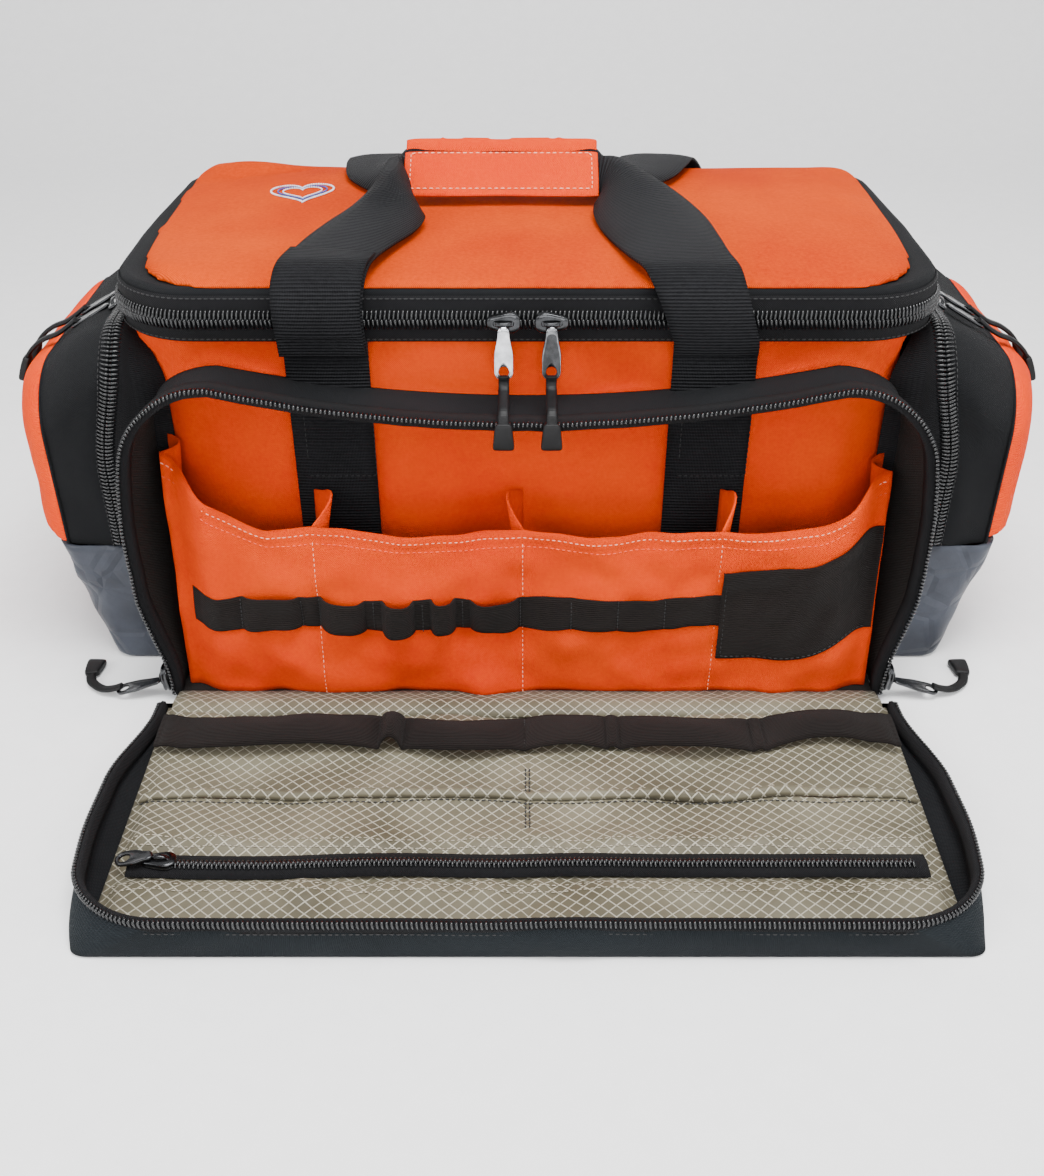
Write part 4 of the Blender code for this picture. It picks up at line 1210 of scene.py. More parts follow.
def build_grips():
    grip_leaf("front_grip_wrap", "front_handle", 0.0, 0.0046, 0.0, 0.0405, "grip_front_leaf")
    grip_leaf("rear_grip_wrap", "rear_handle", -0.0094, -0.0048, 0.0125, 0.044, "grip_rear_leaf", 0.0060)


# ---------------------------------------------------------------- fold-down front flap


def rim_height(y):
    return (0.010 + (HINGE_Y - y) * math.cos(math.radians(86))) / math.sin(math.radians(86))


def flap_line(radius, half=FLAP_HALF, front=FLAP_FRONT, start=HINGE_Y - 0.002):
    """The flap from above, from the left of its hinge round its front to the right: (x, y, nx, ny)."""
    line = [(-half, start + (front + radius - start) * i / 24, -1.0, 0.0) for i in range(24)]
    for i in range(13):
        a = math.radians(180 + 90 * i / 12)
        line.append((-half + radius + radius * math.cos(a), front + radius + radius * math.sin(a),
            math.cos(a), math.sin(a)))
    line += [(-half + radius + (2 * half - 2 * radius) * i / 50, front, 0.0, -1.0) for i in range(1, 50)]
    for i in range(13):
        a = math.radians(270 + 90 * i / 12)
        line.append((half - radius + radius * math.cos(a), front + radius + radius * math.sin(a),
            math.cos(a), math.sin(a)))
    line += [(half, front + radius + (start - front - radius) * i / 24, 1.0, 0.0) for i in range(1, 25)]
    return [(x + nx * belly(HINGE_Y - y), y, nx, ny) for x, y, nx, ny in line]


FLAP_FOOT = flap_line(0.007)
FLAP_RIM = flap_line(0.044, half=FLAP_HALF - 0.001, front=FLAP_FRONT + 0.004)


def flap_wall(i, t, out=0.0):
    """A place on the flap's wall: t runs from its foot, 0, to its rim, 1."""
    ax, ay, anx, any_ = FLAP_FOOT[i]
    bx, by, bnx, bny = FLAP_RIM[i]
    high = rim_height(by) + 0.0004
    swell = math.sin(math.pi * t) * (0.0012 + wave(ax, ay, t * 0.02, 22, 0.0032, 4)) * (1
        if i not in (0, len(FLAP_FOOT) - 1) else 0)
    nx, ny = anx + (bnx - anx) * t, any_ + (bny - any_) * t
    away = swell + out
    x, y = ax + (bx - ax) * t + nx * away, ay + (by - ay) * t + ny * away
    return (x, min(y, HINGE_Y - 0.001), 0.0006 + (high - 0.0030 - 0.0006) * t
        + wave(x, y, 0, 18, 0.0012, 9) * t)


def build_flap():
    count = len(FLAP_FOOT)
    rows = []
    for s in (0.0, 0.25, 0.5, 0.75, 0.93):
        rows.append([(x * s, HINGE_Y - 0.107 + (y - HINGE_Y + 0.107) * s, 0.0004)
            for x, y, _, _ in FLAP_FOOT])
    for i in range(8):
        rows.append([flap_wall(j, i / 7) for j in range(count)])
    for i in range(7, -1, -1):
        rows.append([flap_wall(j, i / 7, -0.0022) for j in range(count)])
    for s in (0.95, 0.6, 0.3, 0.0):
        rows.append([(x * s, HINGE_Y - 0.107 + (y - HINGE_Y + 0.107) * s, 0.0026)
            for x, y, _, _ in FLAP_FOOT])
    shell = surface("flap_cloth", rows, [MAT["slate"], MAT["black"]], around=True, pick=lambda i,
        j: 0 if i < 12 else 1)
    drop = bmesh.new()
    drop.from_mesh(shell.data)
    bmesh.ops.remove_doubles(drop, verts=drop.verts, dist=0.00002)
    bmesh.ops.recalc_face_normals(drop, faces=drop.faces)
    drop.to_mesh(shell.data)
    drop.free()
    dress(shell, "front_flap", "slate_cloth", "flap_shell")

    def rim(j, out, drop):
        x, y, nx, ny = FLAP_RIM[j]
        p = flap_wall(j, 1.0)
        return (x + nx * out, y + ny * out, p[2] + 0.0030 - drop)

    rows = [[rim(j, out, drop) for j in range(count)]
        for out, drop in ((0.0012, 0.0105), (0.0016, 0.0060), (0.0012, 0.0026), (-0.0004, 0.0014),
        (-0.0022, 0.0018), (-0.0030, 0.0070), (-0.0030, 0.0100))]
    sheet("flap_zip_tape", rows, "tape", 0.0007, "front_flap", "zip_coil", "flap_stringer")
    path = [(rim(j, 0.0006, 0.0020), (0, 0, -1), (FLAP_RIM[j][2], FLAP_RIM[j][3], 0)) for j in range(count)]
    teeth("flap_zip_teeth", path, "front_flap")
    path = [(rim(j, 0.0021, 0.0092), (0, 0, -1), (FLAP_RIM[j][2], FLAP_RIM[j][3], 0)) for j in range(count)]
    stitches("flap_rim_stitches", path, "front_flap", "dark_thread", slot="zip_coil")

    build_flap_lining()
    build_flap_elastic()
    build_flap_zip()
    build_hinge_cloth()


def lining_height(x, y):
    base = 0.0054 + 0.0060 * abs(wave(x, y, 0, 11, 1.0, 2)) + wave(x * 0.7, y, 0, 36, 0.0020, 6)
    ruck = hump(y + 0.345, 0.012) * (0.0010 + wave(x, 0, 0, 60, 0.0028, 3))
    ruck += hump(y + 0.306, 0.010) * (0.0012 + wave(x, 0, 0, 48, 0.0028, 5))
    pocket = 0.0022 * smooth_step((-0.266 - y) / 0.003)
    seam = -0.0012 * hump(x, 0.0025)
    level = math.exp(-(((y + 0.326) / 0.0135) ** 4))
    base = base * (1 - level) + 0.0056 * level
    pocket *= 1 - level
    edge = smooth_step(min(0.2365 - abs(x), y - FLAP_FRONT - 0.004, HINGE_Y - 0.0030 - y) / 0.012)
    return 0.0048 + (base - 0.0048 + ruck + pocket + seam) * edge


def build_flap_lining():
    across, deep = 190, 96
    rows = []
    low, high = FLAP_FRONT + 0.0035, HINGE_Y - 0.0036
    for i in range(deep + 1):
        y = low + (high - low) * i / deep
        near = y - FLAP_FRONT
        reach = 0.2370
        if near < 0.030:
            reach = 0.2370 - 0.030 + math.sqrt(max(0.030**2 - (0.030 - near) ** 2, 0))
        rows.append([(-reach + 2 * reach * j / across, y,
            lining_height(-reach + 2 * reach * j / across, y)) for j in range(across + 1)])
    sheet("flap_ripstop", rows, "khaki", 0.0012, "front_flap", "ripstop_lining", "flap_lining", where=-1.0)

    def along(y, lift, ends=0.232):
        return [((x, y, lining_height(x, y) + lift), (0, 1, 0), (0, 0, 1))
            for x in (-ends + 2 * ends * i / 90 for i in range(91))]

    rows = []
    for y, lift in ((-0.2650, 0.0004), (-0.2656, 0.0026), (-0.2672, 0.0034), (-0.2700, 0.0024),
        (-0.2706, 0.0006)):
        rows.append([(x, y + wave(x, 0, 0, 14, 0.0040, 4),
            lining_height(x, -0.271) + lift * (1 + 1.6 * abs(wave(x, 0, 0, 17, 1.0, 8))))
            for x in (-0.234 + 0.468 * i / 110 for i in range(111))])
    sheet("flap_slot_edge", rows, "khaki", 0.0008, "front_flap", "ripstop_lining")
    stitches("flap_slot_stitches", [((p[0][0], p[0][1], p[0][2] + 0.0004), p[1], p[2])
        for p in along(-0.2735, 0.0002)], "front_flap", "dark_thread", slot="ripstop_lining")
    for number, y in enumerate((-0.3065, -0.3120, -0.3415, -0.3470)):
        stitches(f"flap_zip_stitches_{number}", along(y, 0.0003), "front_flap", "pale_tan",
            slot="ripstop_lining")
    for number, x in enumerate((-0.0012, 0.0012)):
        line = [((x, y, lining_height(x, y) + 0.0003), (1, 0, 0), (0, 0, 1))
            for y in (-0.240 - 0.060 * i / 24 for i in range(25))]
        stitches(f"flap_seam_stitches_{number}", line, "front_flap", "dark_thread", radius=0.00055,
            slot="ripstop_lining")


def build_flap_elastic():
    """A long elastic sewn down at a few bars; between them it stands up on its front edge and droops
    towards the flap."""
    bars = [-0.231, -0.094, -0.079, -0.002, 0.050, 0.058, 0.142, 0.150, 0.231]
    rises = [0.0105, 0.0130, 0.0120, 0.0070, 0.0040, 0.0110, 0.0035, 0.0080]
    droops = [0.0050, 0.0030, 0.0100, 0.0030, 0.0010, 0.0060, 0.0010, -0.0020]
    rows = []
    steps = 320
    for k in range(11):
        t = k / 10
        row = []
        for j in range(steps + 1):
            x = -0.2345 + 0.469 * j / steps
            high = droop = 0.0
            for a, b, rise, sag in zip(bars, bars[1:], rises, droops):
                if a < x < b:
                    arch = math.sin(math.pi * (x - a) / (b - a))
                    high, droop = rise * arch**0.7, sag * arch
            rear = -0.1935 + 0.0020 * math.sin(x * 40) - droop * 0.9
            front = rear - 0.0320 + high * 0.35 - droop * 0.3
            y = front + (rear - front) * t
            ends = smooth_step((abs(x) - 0.214) / 0.018)
            z = 0.0088 + ends * 0.0040 + high * (0.25 + 0.75
                * math.sin(math.pi * (0.25 + 0.6 * t))) + wave(x, y, 0, 46, 0.0012)
            row.append((x, y, z))
        rows.append(row)
    sheet("flap_loops", rows, "elastic", CLOTH_THICK, "front_flap", "elastic", "flap_elastic")
    for number, x in enumerate((-0.0940, -0.0790, -0.0020, 0.0540, 0.1460)):
        path = [((x, -0.2205 + 0.0260 * k / 8, 0.0098), (1, 0, 0), (0, 0, 1)) for k in range(9)]
        stitches(f"flap_loop_tack_{number}", path, "front_flap", "dark_thread", 0.0026, 0.0022,
            slot="elastic")


def build_flap_zip():
    rows = []
    for y, lift in ((-0.3350, 0.0000), (-0.3320, 0.0010), (-0.3280, 0.0016), (-0.3240, 0.0016),
        (-0.3200, 0.0010), (-0.3170, 0.0000)):
        rows.append([(x, y + wave(x, 0, 0, 9, 0.0030, 6), 0.0082 + lift + wave(x, 0, 0, 20, 0.0006))
            for x in (-0.226 + 0.452 * i / 100 for i in range(101))])
    sheet("flap_zip_strip", rows, "tape", 0.0007, "front_flap", "zip_coil", "flap_pocket_zip")
    path = [((x, -0.3260 + wave(x, 0, 0, 9, 0.0030, 6), 0.0100 + wave(x, 0, 0, 20, 0.0006)), (0, 1, 0),
        (0, 0, 1)) for x in (-0.218 + 0.436 * i / 80 for i in range(81))]
    teeth("flap_zip_coil", path, "front_flap", two_sided=True, width=0.0036)


def build_hinge_cloth():
    """The floor cloth that runs from the main base to the flap."""
    rows = []
    for y, z in ((-0.1585, 0.0046), (-0.1640, 0.0056), (-0.1690, 0.0072), (-0.1730, 0.0086),
        (-0.1765, 0.0086), (-0.1810, 0.0074), (-0.1870, 0.0052)):
        rows.append([(-0.233 + 0.466 * i / 60, y, z + abs(wave(-0.233 + 0.466 * i / 60, y, 0, 30, 0.0012)))
            for i in range(61)])
    cloth_piece = thicken(surface("hinge_cloth", rows, [MAT["khaki"]]), 0.0014)
    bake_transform(cloth_piece)
    rows = []
    for y, z in ((-0.1560, 0.0008), (-0.1640, 0.0006), (-0.1700, 0.0006), (-0.1740, 0.0006),
        (-0.1800, 0.0008)):
        rows.append([(-0.236 + 0.472 * i / 60, y, z) for i in range(61)])
    under = thicken(surface("hinge_under_cloth", rows, [MAT["slate"]]), 0.0010)
    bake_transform(under)


# ---------------------------------------------------------------- end pockets

COVER_TOP = 0.2335
SHOULDER_X = 0.3050
SHOULDER_TOP = 0.2050
COVER_X = 0.2525
POCKET_HALF = 0.112


def arch_line(half, top, radius, low):
    """An end pocket's arch seen from its end, from the front foot over the top to the rear foot: (y,
    z, ny, nz)."""
    straight = max(top - radius - low, 0.001)
    pieces = [(-half, low + straight * i / 20, -1.0, 0.0) for i in range(20)]
    for i in range(17):
        a = math.radians(180 - 90 * i / 16)
        pieces.append((-half + radius + radius * math.cos(a), top - radius + radius * math.sin(a),
            math.cos(a), math.sin(a)))
    flat = half * 2 - radius * 2
    pieces += [(-half + radius + flat * i / 22, top, 0.0, 1.0) for i in range(1, 22)]
    for i in range(17):
        a = math.radians(90 - 90 * i / 16)
        pieces.append((half - radius + radius * math.cos(a), top - radius + radius * math.sin(a),
            math.cos(a), math.sin(a)))
    pieces += [(half, low + straight * (1 - (i + 1) / 20), 1.0, 0.0) for i in range(20)]
    return pieces


def end_wall_x(y):
    """How far out the main compartment's end wall stands, which falls away at its rounded corners."""
    if y < FRONT_Y + R_FRONT:
        return HALF_W - R_FRONT + math.sqrt(max(R_FRONT**2 - (FRONT_Y + R_FRONT - y) ** 2, 0))
    if y > REAR_Y - R_REAR:
        return HALF_W - R_REAR + math.sqrt(max(R_REAR**2 - (y - REAR_Y + R_REAR) ** 2, 0))
    return HALF_W


def arch_lean(z):
    return 0.0150 * smooth_step((0.229 - z) / 0.085)


def build_end_pocket(side, sign):
    low = BOOT_TOP + 0.0006
    seed = 3.0 if sign > 0 else 11.0
    body, cover = "main_body", f"{side}_cover"

    def boot(out, inset, z, crease=0.0):
        near, far = -POCKET_HALF + inset, POCKET_HALF - inset
        inner = end_wall_x(near) - 0.0005
        r = 0.014
        line = [(inner, near)]
        line += [(inner + (out - r - inner) * i / 8, near) for i in range(1, 9)]
        line += [(out - r + r * math.sin(math.radians(90 * i / 8)),
            near + r - r * math.cos(math.radians(90 * i / 8))) for i in range(1, 9)]
        line += [(out, near + r + (far - near - 2 * r) * i / 30) for i in range(1, 31)]
        line += [(out - r + r * math.cos(math.radians(90 * i / 8)),
            far - r + r * math.sin(math.radians(90 * i / 8))) for i in range(1, 9)]
        inner = end_wall_x(far) - 0.0005
        line += [(inner + (out - r - inner) * (1 - i / 8), far) for i in range(1, 9)]
        row = []
        for x, y in line:
            far_out = smooth_step((x - 0.245) / 0.02)
            d = (abs(wave(x, y, z, 20, crease * 2.0, seed)) - crease * 0.5
                + wave(x, y, z, 55, crease * 0.7, seed + 4)) * far_out
            row.append((sign * (x - d), y * (1 - d * 3),
                z + wave(x, y, 0, 26, crease * 0.4, seed) * far_out * min(z / 0.02, 1)))
        return row

    rows = [boot(0.2890, 0.001, 0.0004), boot(0.2905, 0.0, 0.0022)]
    for i in range(1, 17):
        t = i / 16
        z = 0.0022 + (BOOT_TOP - 0.0022) * t
        rows.append(boot(0.2905 + 0.0215 * t, 0.0, z, 0.0034 * math.sin(math.pi * min(t * 0.95, 1))))
    rows += [boot(0.3110, 0.001, BOOT_TOP + 0.0003), boot(0.3088, 0.003, BOOT_TOP - 0.001)]
    for z in (0.07, 0.04, 0.012, 0.004):
        rows.append(boot(0.2905 + 0.0215 * z / BOOT_TOP - 0.0045, 0.004, z))
    obj = surface(f"{side}_boot_cloth", rows, [MAT["grey"]])
    count = len(rows[0])
    levels = len(rows)
    add_caps(obj, list(range(count)), list(range((levels - 1) * count, levels * count))[::-1],
        [r * count for r in range(levels)], [r * count + count - 1 for r in range(levels)])
    dress(obj, body, "tarpaulin", f"{side}_pocket_boot")

    zip_line = arch_line(POCKET_HALF - 0.001, COVER_TOP - 0.0005, 0.028, low)
    rows = [[(sign * (end_wall_x(y) - 0.0008), y - ny * 0.0012, z - nz * 0.0030)
        for y, z, ny, nz in zip_line]]
    rows += [[(sign * (x + arch_lean(z) * part), y + ny * out, z + nz * out) for y, z, ny, nz in zip_line]
        for x, out, part in ((0.2425, -0.0010, 0.0), (0.2440, 0.0006, 0.35), (0.2460, 0.0014, 0.75),
        (0.2490, 0.0016, 1.0), (0.2512, 0.0010, 1.0))]
    sheet(f"{side}_arch_tape", rows, "tape", TAPE_THICK, body, "zip_coil", f"{side}_pocket_stringer")
    path = [((sign * (0.2512 + arch_lean(z)), y + ny * 0.0014, z + nz * 0.0014), (-sign, 0, 0),
        (0, ny, nz)) for y, z, ny, nz in zip_line]
    teeth(f"{side}_arch_teeth", path, body)
    path = [((sign * (0.2530 + arch_lean(z)), y + ny * 0.0014, z + nz * 0.0014), (sign, 0, 0), (0, ny, nz))
        for y, z, ny, nz in zip_line]
    teeth(f"{side}_cover_teeth", path, cover)

    rows = []
    outer_line = arch_line(POCKET_HALF - 0.005, SHOULDER_TOP + 0.0005, 0.040, low)
    levels = 10
    for i in range(levels + 1):
        t = i / levels
        row = []
        for (ay, az, any_, anz), (by, bz, bny, bnz) in zip(zip_line, outer_line):
            x = 0.2530 + (SHOULDER_X - 0.2530) * t + arch_lean(az) * (1 - t)
            bulge = math.sin(math.pi * t) * (0.0026 + wave(ay, az, t * 0.05, 20, 0.0045, seed))
            y, z = ay + (by - ay) * t, az + (bz - az) * t
            row.append((sign * x, y + any_ * bulge, z + anz * bulge))
        rows.append(row)
    for i in range(levels, -1, -2):
        t = i / levels
        row = []
        for (ay, az, any_, anz), (by, bz, bny, bnz) in zip(zip_line, outer_line):
            x = 0.2530 + (SHOULDER_X - 0.2530) * t + arch_lean(az) * (1 - t)
            y, z = ay + (by - ay) * t, az + (bz - az) * t
            row.append((sign * x, y - any_ * 0.0024, z - anz * 0.0024))
        rows.append(row)
    band = surface(f"{side}_cover_band", rows, [MAT["black"], MAT["inner"]], along=True, pick=lambda i,
        j: 0 if i <= levels else 1)
    count = len(rows[0])
    add_caps(band, [r * count for r in range(len(rows))],
        [r * count + count - 1 for r in range(len(rows))][::-1])
    dress(band, cover, "black_cloth", f"{side}_cover_gusset")
    path = []
    for (ay, az, any_, anz), (by, bz, bny, bnz) in zip(zip_line, outer_line):
        t = 0.14
        path.append(((sign * (0.2530 + (SHOULDER_X - 0.2530) * t + arch_lean(az) * (1 - t)),
            ay + (by - ay) * t + any_ * 0.0022, az + (bz - az) * t + anz * 0.0022), (sign, 0, 0),
            (0, any_, anz)))
    stitches(f"{side}_cover_stitches", path, cover, "dark_thread", slot="zip_coil")

    rows = []
    profile = [(0.3044, 0.0008), (0.3054, -0.0004), (0.3085, -0.0002), (0.3125, 0.0014), (0.3165, 0.0045),
        (0.3205, 0.0095), (0.3245, 0.0165), (0.3280, 0.0260), (0.3305, 0.0370), (0.3322, 0.0500),
        (0.3330, 0.0640), (0.3333, 0.080)]
    for out, shrink in profile:
        line = arch_line(POCKET_HALF - 0.004 - shrink, SHOULDER_TOP - shrink * 0.72,
            max(0.040 - shrink * 0.25, 0.012), low + shrink * 0.42)
        row = []
        for y, z, ny, nz in line:
            d = wave(y, z, out, 16, 0.0042, seed) + wave(y, z, 0, 42, 0.0014, seed + 2)
            row.append((sign * (out + d * min(shrink / 0.01, 1) * 0.7 - 0.0015), y + ny * d * 0.3,
                z + nz * d * 0.3))
        rows.append(row)
    panel = surface(f"{side}_cover_pad", rows, [MAT["orange"]])
    count = len(rows[0])
    levels = len(rows)
    add_caps(panel, list(range((levels - 1) * count, levels * count)), list(range(count))[::-1],
        [r * count for r in range(levels)] + [r * count + count - 1 for r in range(levels)][::-1])
    puff(panel, 0.0045, lambda co: abs(co.x) < 0.3066 or co.z < low + 0.003, 0.004)
    side_map(panel)
    dress(panel, cover, "orange_cloth", f"{side}_cover_panel")
    line = arch_line(POCKET_HALF - 0.005, SHOULDER_TOP - 0.0008, 0.040, low)
    rows = []
    for a in range(7):
        angle = 2 * math.pi * a / 7
        rows.append([(sign * (0.3044 + 0.0011 * math.cos(angle)),
            y + ny * (0.0010 + 0.0011 * math.sin(angle)), z + nz * (0.0010 + 0.0011 * math.sin(angle)))
            for y, z, ny, nz in line])
    piping = surface(f"{side}_cover_piping", rows, [MAT["black"]], along=True)
    tidy_normals(piping)
    dress(piping, cover, "black_cloth")


def side_map(obj):
    layer = obj.data.uv_layers[0]
    for loop in obj.data.loops:
        co = obj.data.vertices[loop.vertex_index].co
        layer.data[loop.index].uv = (co.y, co.z)


# ---------------------------------------------------------------- sliders, tabs and pulls


def placed(points, pivot, along, across, out):
    pivot, along, across, out = (Vector(v) for v in (pivot, along, across, out))
    return [pivot + along * a + across * b + out * c for a, b, c in points]


def build_slider(name, centre, along, across, out):
    """A zip slider: a shield-shaped plate above and below the coil, a throat at its nose and a bridge
    for the tab."""
    foot = []
    for i in range(40):
        a = 2 * math.pi * i / 40
        c, s = math.cos(a), math.sin(a)
        x = 0.0098 * signed_power(c, 0.75)
        wide = 0.0045 + 0.0018 * smooth_step((x + 0.006) / 0.012)
        foot.append((x, wide * signed_power(s, 0.7)))
    loops = []
    for scale, height in ((0.90, -0.0027), (1.0, -0.0022), (1.0, -0.0012), (0.94, -0.0008), (0.94, 0.0002),
        (1.0, 0.0005), (1.0, 0.0013), (0.93, 0.0018), (0.6, 0.0020)):
        loops.append(placed([(a * scale, b * scale, height) for a, b in foot], centre, along, across, out))
    plate = surface(f"{name}_plates", loops, [MAT["gunmetal"]], around=True)
    closed_ends(plate, 40, 9)
    bridge = []
    for i in range(13):
        t = i / 12
        a = math.pi * t
        x, z = -0.0058 * math.cos(a), 0.0016 + 0.0024 * math.sin(a)
        row = []
        for k in range(8):
            b = 2 * math.pi * k / 8
            row.append((x + 0.0006 * math.cos(b) * math.cos(a), 0.0014 * math.sin(b),
                z + 0.0006 * math.cos(b) * math.sin(a)))
        bridge.append(placed(row, centre, along, across, out))
    arch = surface(f"{name}_bridge", bridge, [MAT["gunmetal"]], around=True)
    closed_ends(arch, 8, 13)
    both = joined(f"{name}_metal", [plate, arch])
    dress(both, name, "gunmetal", name)


def build_tab(name, pivot, along, across, out, long, mat="gunmetal", rim_mat="gunmetal"):
    """A cast zip tab with rounded edges: necked at its hinge, rounded at its free end, with a round
    hole."""
    centre = long - 0.0055
    outer = []
    for i in range(9):
        a = math.pi * (0.5 + i / 8)
        outer.append((0.0006 + 0.0028 * math.cos(a) + 0.0010, 0.0034 * math.sin(a)))
    for i in range(1, 9):
        t = i / 9
        outer.append((0.0016 + (centre - 0.0016) * t, -0.0034 - 0.0022 * smooth_step(t * 1.6)))
    for i in range(17):
        a = -math.pi / 2 + math.pi * i / 16
        outer.append((centre + 0.0055 * math.cos(a), 0.0056 * math.sin(a)))
    outer += [(a, -b) for a, b in outer[9:17]][::-1]
    hole = []
    for a, b in outer:
        angle = math.atan2(b, a - centre)
        hole.append((centre + 0.0031 * math.cos(angle), 0.0031 * math.sin(angle)))

    def toward(share, height):
        pts = [(a + (c - a) * share, b + (d - b) * share, height) for (a, b), (c, d) in zip(outer, hole)]
        return placed(pts, pivot, along, across, out)

    thick = 0.00095
    loops = [toward(0.0, -thick * 0.45), toward(0.0, thick * 0.45), toward(0.05, thick * 0.95),
        toward(0.16, thick), toward(0.24, thick * 0.72), toward(0.74, thick * 0.72), toward(0.84, thick),
        toward(0.95, thick * 0.9), toward(1.0, thick * 0.4)]
    loops += [toward(1.0, -thick * 0.4), toward(0.95, -thick * 0.9), toward(0.84, -thick),
        toward(0.74, -thick * 0.72), toward(0.24, -thick * 0.72), toward(0.16, -thick),
        toward(0.05, -thick * 0.95)]
    tab = surface(f"{name}_cast", loops, [MAT[mat], MAT[rim_mat]], around=True, along=True, pick=lambda i,
        j: 1 if i in (1, 2, 15) else 0)
    tidy_normals(tab)
    dress(tab, name, "gunmetal", name)


def build_pull(name, body, path, across, flat=False):
    """A braided cord looped through the tab's hole, with a moulded grip at its free end."""
    across = Vector(across)
    line = smooth_line(path, 10)
    lengths = [0.0]
    for a, b in zip(line, line[1:]):
        lengths.append(lengths[-1] + (b - a).length)
    total = lengths[-1]
    braid_end = total - 0.0155

    def at(distance):
        for k in range(1, len(lengths)):
            if lengths[k] >= distance:
                t = (distance - lengths[k - 1]) / max(lengths[k] - lengths[k - 1], 1e-9)
                return line[k - 1].lerp(line[k], t), (line[k] - line[k - 1]).normalized()
        return line[-1], (line[-1] - line[-2]).normalized()

    def frame_at(distance):
        p, travel = at(distance)
        wide = travel.cross(Vector((0, 0, 1))).normalized() if flat else across
        return p, travel, wide, wide.cross(travel).normalized()

    steps = max(int(braid_end / 0.00045), 20)
    rows, centre_line = [], []
    for i in range(steps + 1):
        d = braid_end * i / steps
        p, travel, wide, up = frame_at(d)
        centre_line.append(tuple(p))
        rib = 1 + 0.09 * math.sin(d / 0.0013 * 2 * math.pi)
        row = []
        for k in range(14):
            a = 2 * math.pi * k / 14
            w = 0.0032 * signed_power(math.cos(a), 0.8)
            h = 0.00125 * math.sin(a) * (1 + 0.35 * abs(math.cos(a)))
            row.append(p + wide * w * rib + up * h * rib)
        rows.append(row)
    braid = surface(f"{name}_braid", rows, [MAT["rubber"]], around=True)
    closed_ends(braid, 14, steps + 1)

    rows = []
    for share, w, h in ((0.0, 0.0034, 0.0014), (0.03, 0.0044, 0.0020), (0.10, 0.0050, 0.0024),
        (0.50, 0.0058, 0.0026), (0.86, 0.0064, 0.0025), (0.96, 0.0062, 0.0021), (1.0, 0.0052, 0.0014)):
        p, travel, wide, up = frame_at(braid_end - 0.001 + 0.0165 * share)
        row = []
        for k in range(24):
            a = 2 * math.pi * k / 24
            c, s = math.cos(a), math.sin(a)
            row.append(p + wide * w * signed_power(c, 0.35) + up * h * signed_power(s, 0.45))
        rows.append(row)
    end = surface(f"{name}_grip", rows, [MAT["rubber"]], around=True)
    closed_ends(end, 24, 7)
    level = end.modifiers.new("soft", "SUBSURF")
    level.levels = level.render_levels = 1
    applied(end)
    end.data.polygons.foreach_set("use_smooth", [True] * len(end.data.polygons))
    for piece in (braid, end):
        dress(piece, body, "pull_rubber")
    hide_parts(name)


def build_pulls():
    for side, sign in (("left", -1), ("right", 1)):
        x = sign * 0.0140
        build_slider(f"lid_slider_{side}", (x, -0.1296, 0.2505), (-sign, 0, 0), (0, 0, 1), (0, -1, 0))
        build_tab(f"lid_tab_{side}", (x, -0.1345, 0.2485), (0, 0, -1), (1, 0, 0), (0, -1, 0), 0.0315,
            "bright" if sign < 0 else "gunmetal", "bright" if sign < 0 else "worn")
        path = [(-0.1366, 0.2205), (-0.1362, 0.2160), (-0.1400, 0.2125), (-0.1520, 0.2110),
            (-0.1625, 0.2095), (-0.1668, 0.2030), (-0.1672, 0.1880)]
        build_pull(f"lid_pull_{side}", f"lid_tab_{side}", [(x, y, z) for y, z in path], (1, 0, 0))

        build_slider(f"front_slider_{side}", (sign * 0.2415, -0.1560, 0.0150), (0, 0, 1), (0, 1, 0),
            (sign, 0, 0))
        fall = math.radians(16)
        along = (sign * math.cos(fall), 0, -math.sin(fall))
        out = (sign * math.sin(fall), 0, math.cos(fall))
        build_tab(f"front_tab_{side}", (sign * 0.2460, -0.1560, 0.0125), along, (0, 1, 0), out, 0.0315)
        path = [(0.2725, -0.1560, 0.0078), (0.2780, -0.1560, 0.0058), (0.2870, -0.1530, 0.0032),
            (0.2960, -0.1450, 0.0028), (0.2990, -0.1350, 0.0028), (0.2985, -0.1200, 0.0028)]
        build_pull(f"front_pull_{side}", f"front_tab_{side}", [(sign * x, y, z) for x, y, z in path],
            (0, 1, 0), flat=True)

        slope = math.atan2(COVER_TOP - SHOULDER_TOP, SHOULDER_X - COVER_X)
        s, c = math.sin(slope), math.cos(slope)
        out, down = (sign * s, 0, c), (sign * c, 0, -s)
        for part, y, nose in (("fore", -0.0510, 1), ("aft", -0.0290, -1)):
            centre = (sign * (0.2590 + 0.0032 * s), y,
                COVER_TOP - (0.2590 - COVER_X) * math.tan(slope) + 0.0032 * c)
            build_slider(f"{side}_{part}_slider", centre, (0, nose, 0), down, out)
            build_tab(f"{side}_{part}_tab", (sign * 0.2672, y, 0.2315), down, (0, 1, 0), out, 0.0290)
            path = [(0.2890, 0.2222), (0.2950, 0.2176), (0.3030, 0.2125), (0.3120, 0.2090),
                (0.3200, 0.2035), (0.3255, 0.1965), (0.3310, 0.1825)]
            build_pull(f"{side}_{part}_pull", f"{side}_{part}_tab", [(sign * x, y, z) for x, z in path],
                (0, 1, 0))
    build_slider("flap_slider", (-0.2080, -0.3260, 0.0120), (1, 0, 0), (0, 1, 0), (0, 0, 1))
    build_tab("flap_tab", (-0.2120, -0.3260, 0.0162), (-0.9848, 0, -0.1736), (0, 1, 0),
        (-0.1736, 0, 0.9848), 0.0210)


# ---------------------------------------------------------------- stage


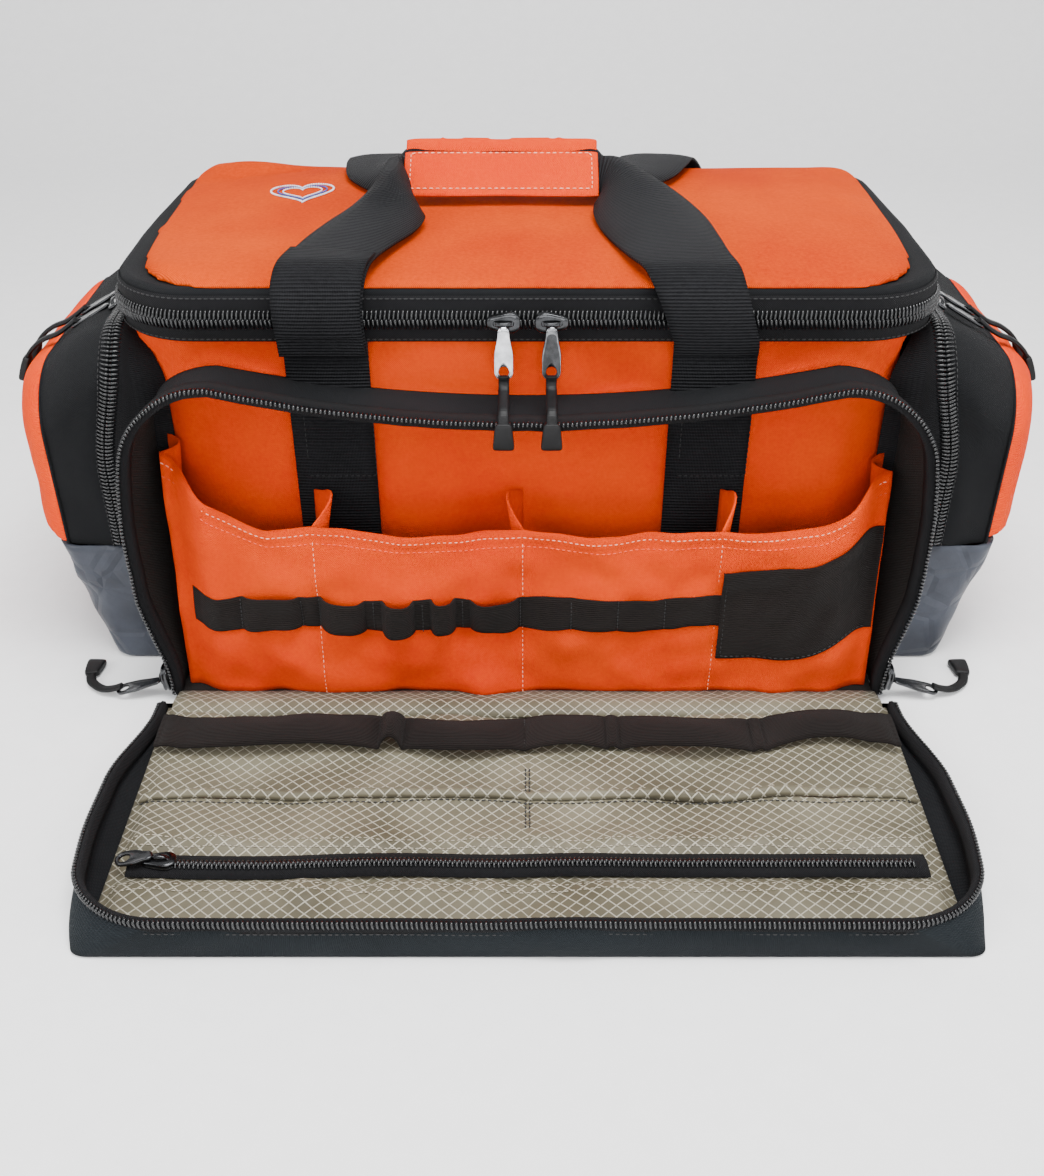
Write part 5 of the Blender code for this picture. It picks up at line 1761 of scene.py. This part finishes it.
# Each light's name, place, aim, width, height and power in watts
LIGHTS = (
    ("key_light", (0.15, -0.35, 1.55), (0, -0.08, 0.1), 1.1, 0.7, 44),
    ("left_light", (-1.45, -0.9, 0.9), (0, -0.1, 0.12), 0.9, 0.9, 17),
    ("right_light", (1.45, -0.9, 0.9), (0, -0.1, 0.12), 0.9, 0.9, 13),
    ("front_light", (0, -1.6, 0.55), (0, -0.1, 0.1), 1.4, 0.6, 15),
)
WORLD_STRENGTH = 0.66
CAMERA_PLACE = (-0.0015, -0.8545, 0.532)
CAMERA_TILT = math.radians(53.9)
CAMERA_LENS = 44.83
CAMERA_SHIFT = (-0.0029, 0.0766)


def build_stage():
    mesh = bpy.data.meshes.new("floor")
    size = 3.0
    points, faces = [], []
    profile = [(-2.2, 0.0), (1.1, 0.0)] + [(1.1 + 0.5 * math.sin(a), 0.5 - 0.5 * math.cos(a))
        for a in (math.radians(10 * k) for k in range(1, 10))] + [(1.6, 2.2)]
    for x in (-size, size):
        for y, z in profile:
            points.append((x, y, z - 0.0005))
    count = len(profile)
    for i in range(count - 1):
        faces.append((i, count + i, count + i + 1, i + 1))
    mesh.from_pydata(points, [], faces)
    mat, tree, shader = principled("floor_paper", (0.93, 0.93, 0.935), 0.9)
    _, _, place = coords(tree, False)
    grain = noise_of(tree, place, 60.0, 3.0)
    tree.links.new(ramp(tree, grain, [(0.2, (0.90, 0.90, 0.905)), (0.8, (0.94, 0.94, 0.945))]),
        shader.inputs["Base Color"])
    floor = link("floor", mesh, [mat])

    def area(name, place, aim, size_x, size_y, power):
        lamp = bpy.data.lights.new(name, "AREA")
        lamp.shape = "RECTANGLE"
        lamp.size, lamp.size_y = size_x, size_y
        lamp.energy = power
        obj = bpy.data.objects.new(name, lamp)
        bpy.context.scene.collection.objects.link(obj)
        obj.location = place
        obj.rotation_euler = (Vector(aim) - Vector(place)).to_track_quat("-Z", "Y").to_euler()

    for light in LIGHTS:
        area(*light)
    world = bpy.data.worlds.new("studio")
    bpy.context.scene.world = world
    world.use_nodes = True
    back = world.node_tree.nodes["Background"]
    back.inputs[0].default_value = (1, 1, 1, 1)
    back.inputs[1].default_value = WORLD_STRENGTH


def build_camera():
    lens = bpy.data.cameras.new("main_camera")
    lens.sensor_width = 36
    lens.sensor_fit = "HORIZONTAL"
    lens.lens = CAMERA_LENS
    lens.shift_x, lens.shift_y = CAMERA_SHIFT
    lens.clip_start = 0.02
    camera = bpy.data.objects.new("main_camera", lens)
    bpy.context.scene.collection.objects.link(camera)
    camera.location = CAMERA_PLACE
    camera.rotation_euler = (CAMERA_TILT, 0, 0)
    bpy.context.scene.camera = camera


build_shell()
build_lid()
build_emblem()
build_gusset()
build_organiser()
build_organiser_elastics()
build_strap_runs()
build_handles()
build_grips()
build_flap()
build_end_pocket("left", -1)
build_end_pocket("right", 1)
build_pulls()
build_stage()
build_camera()
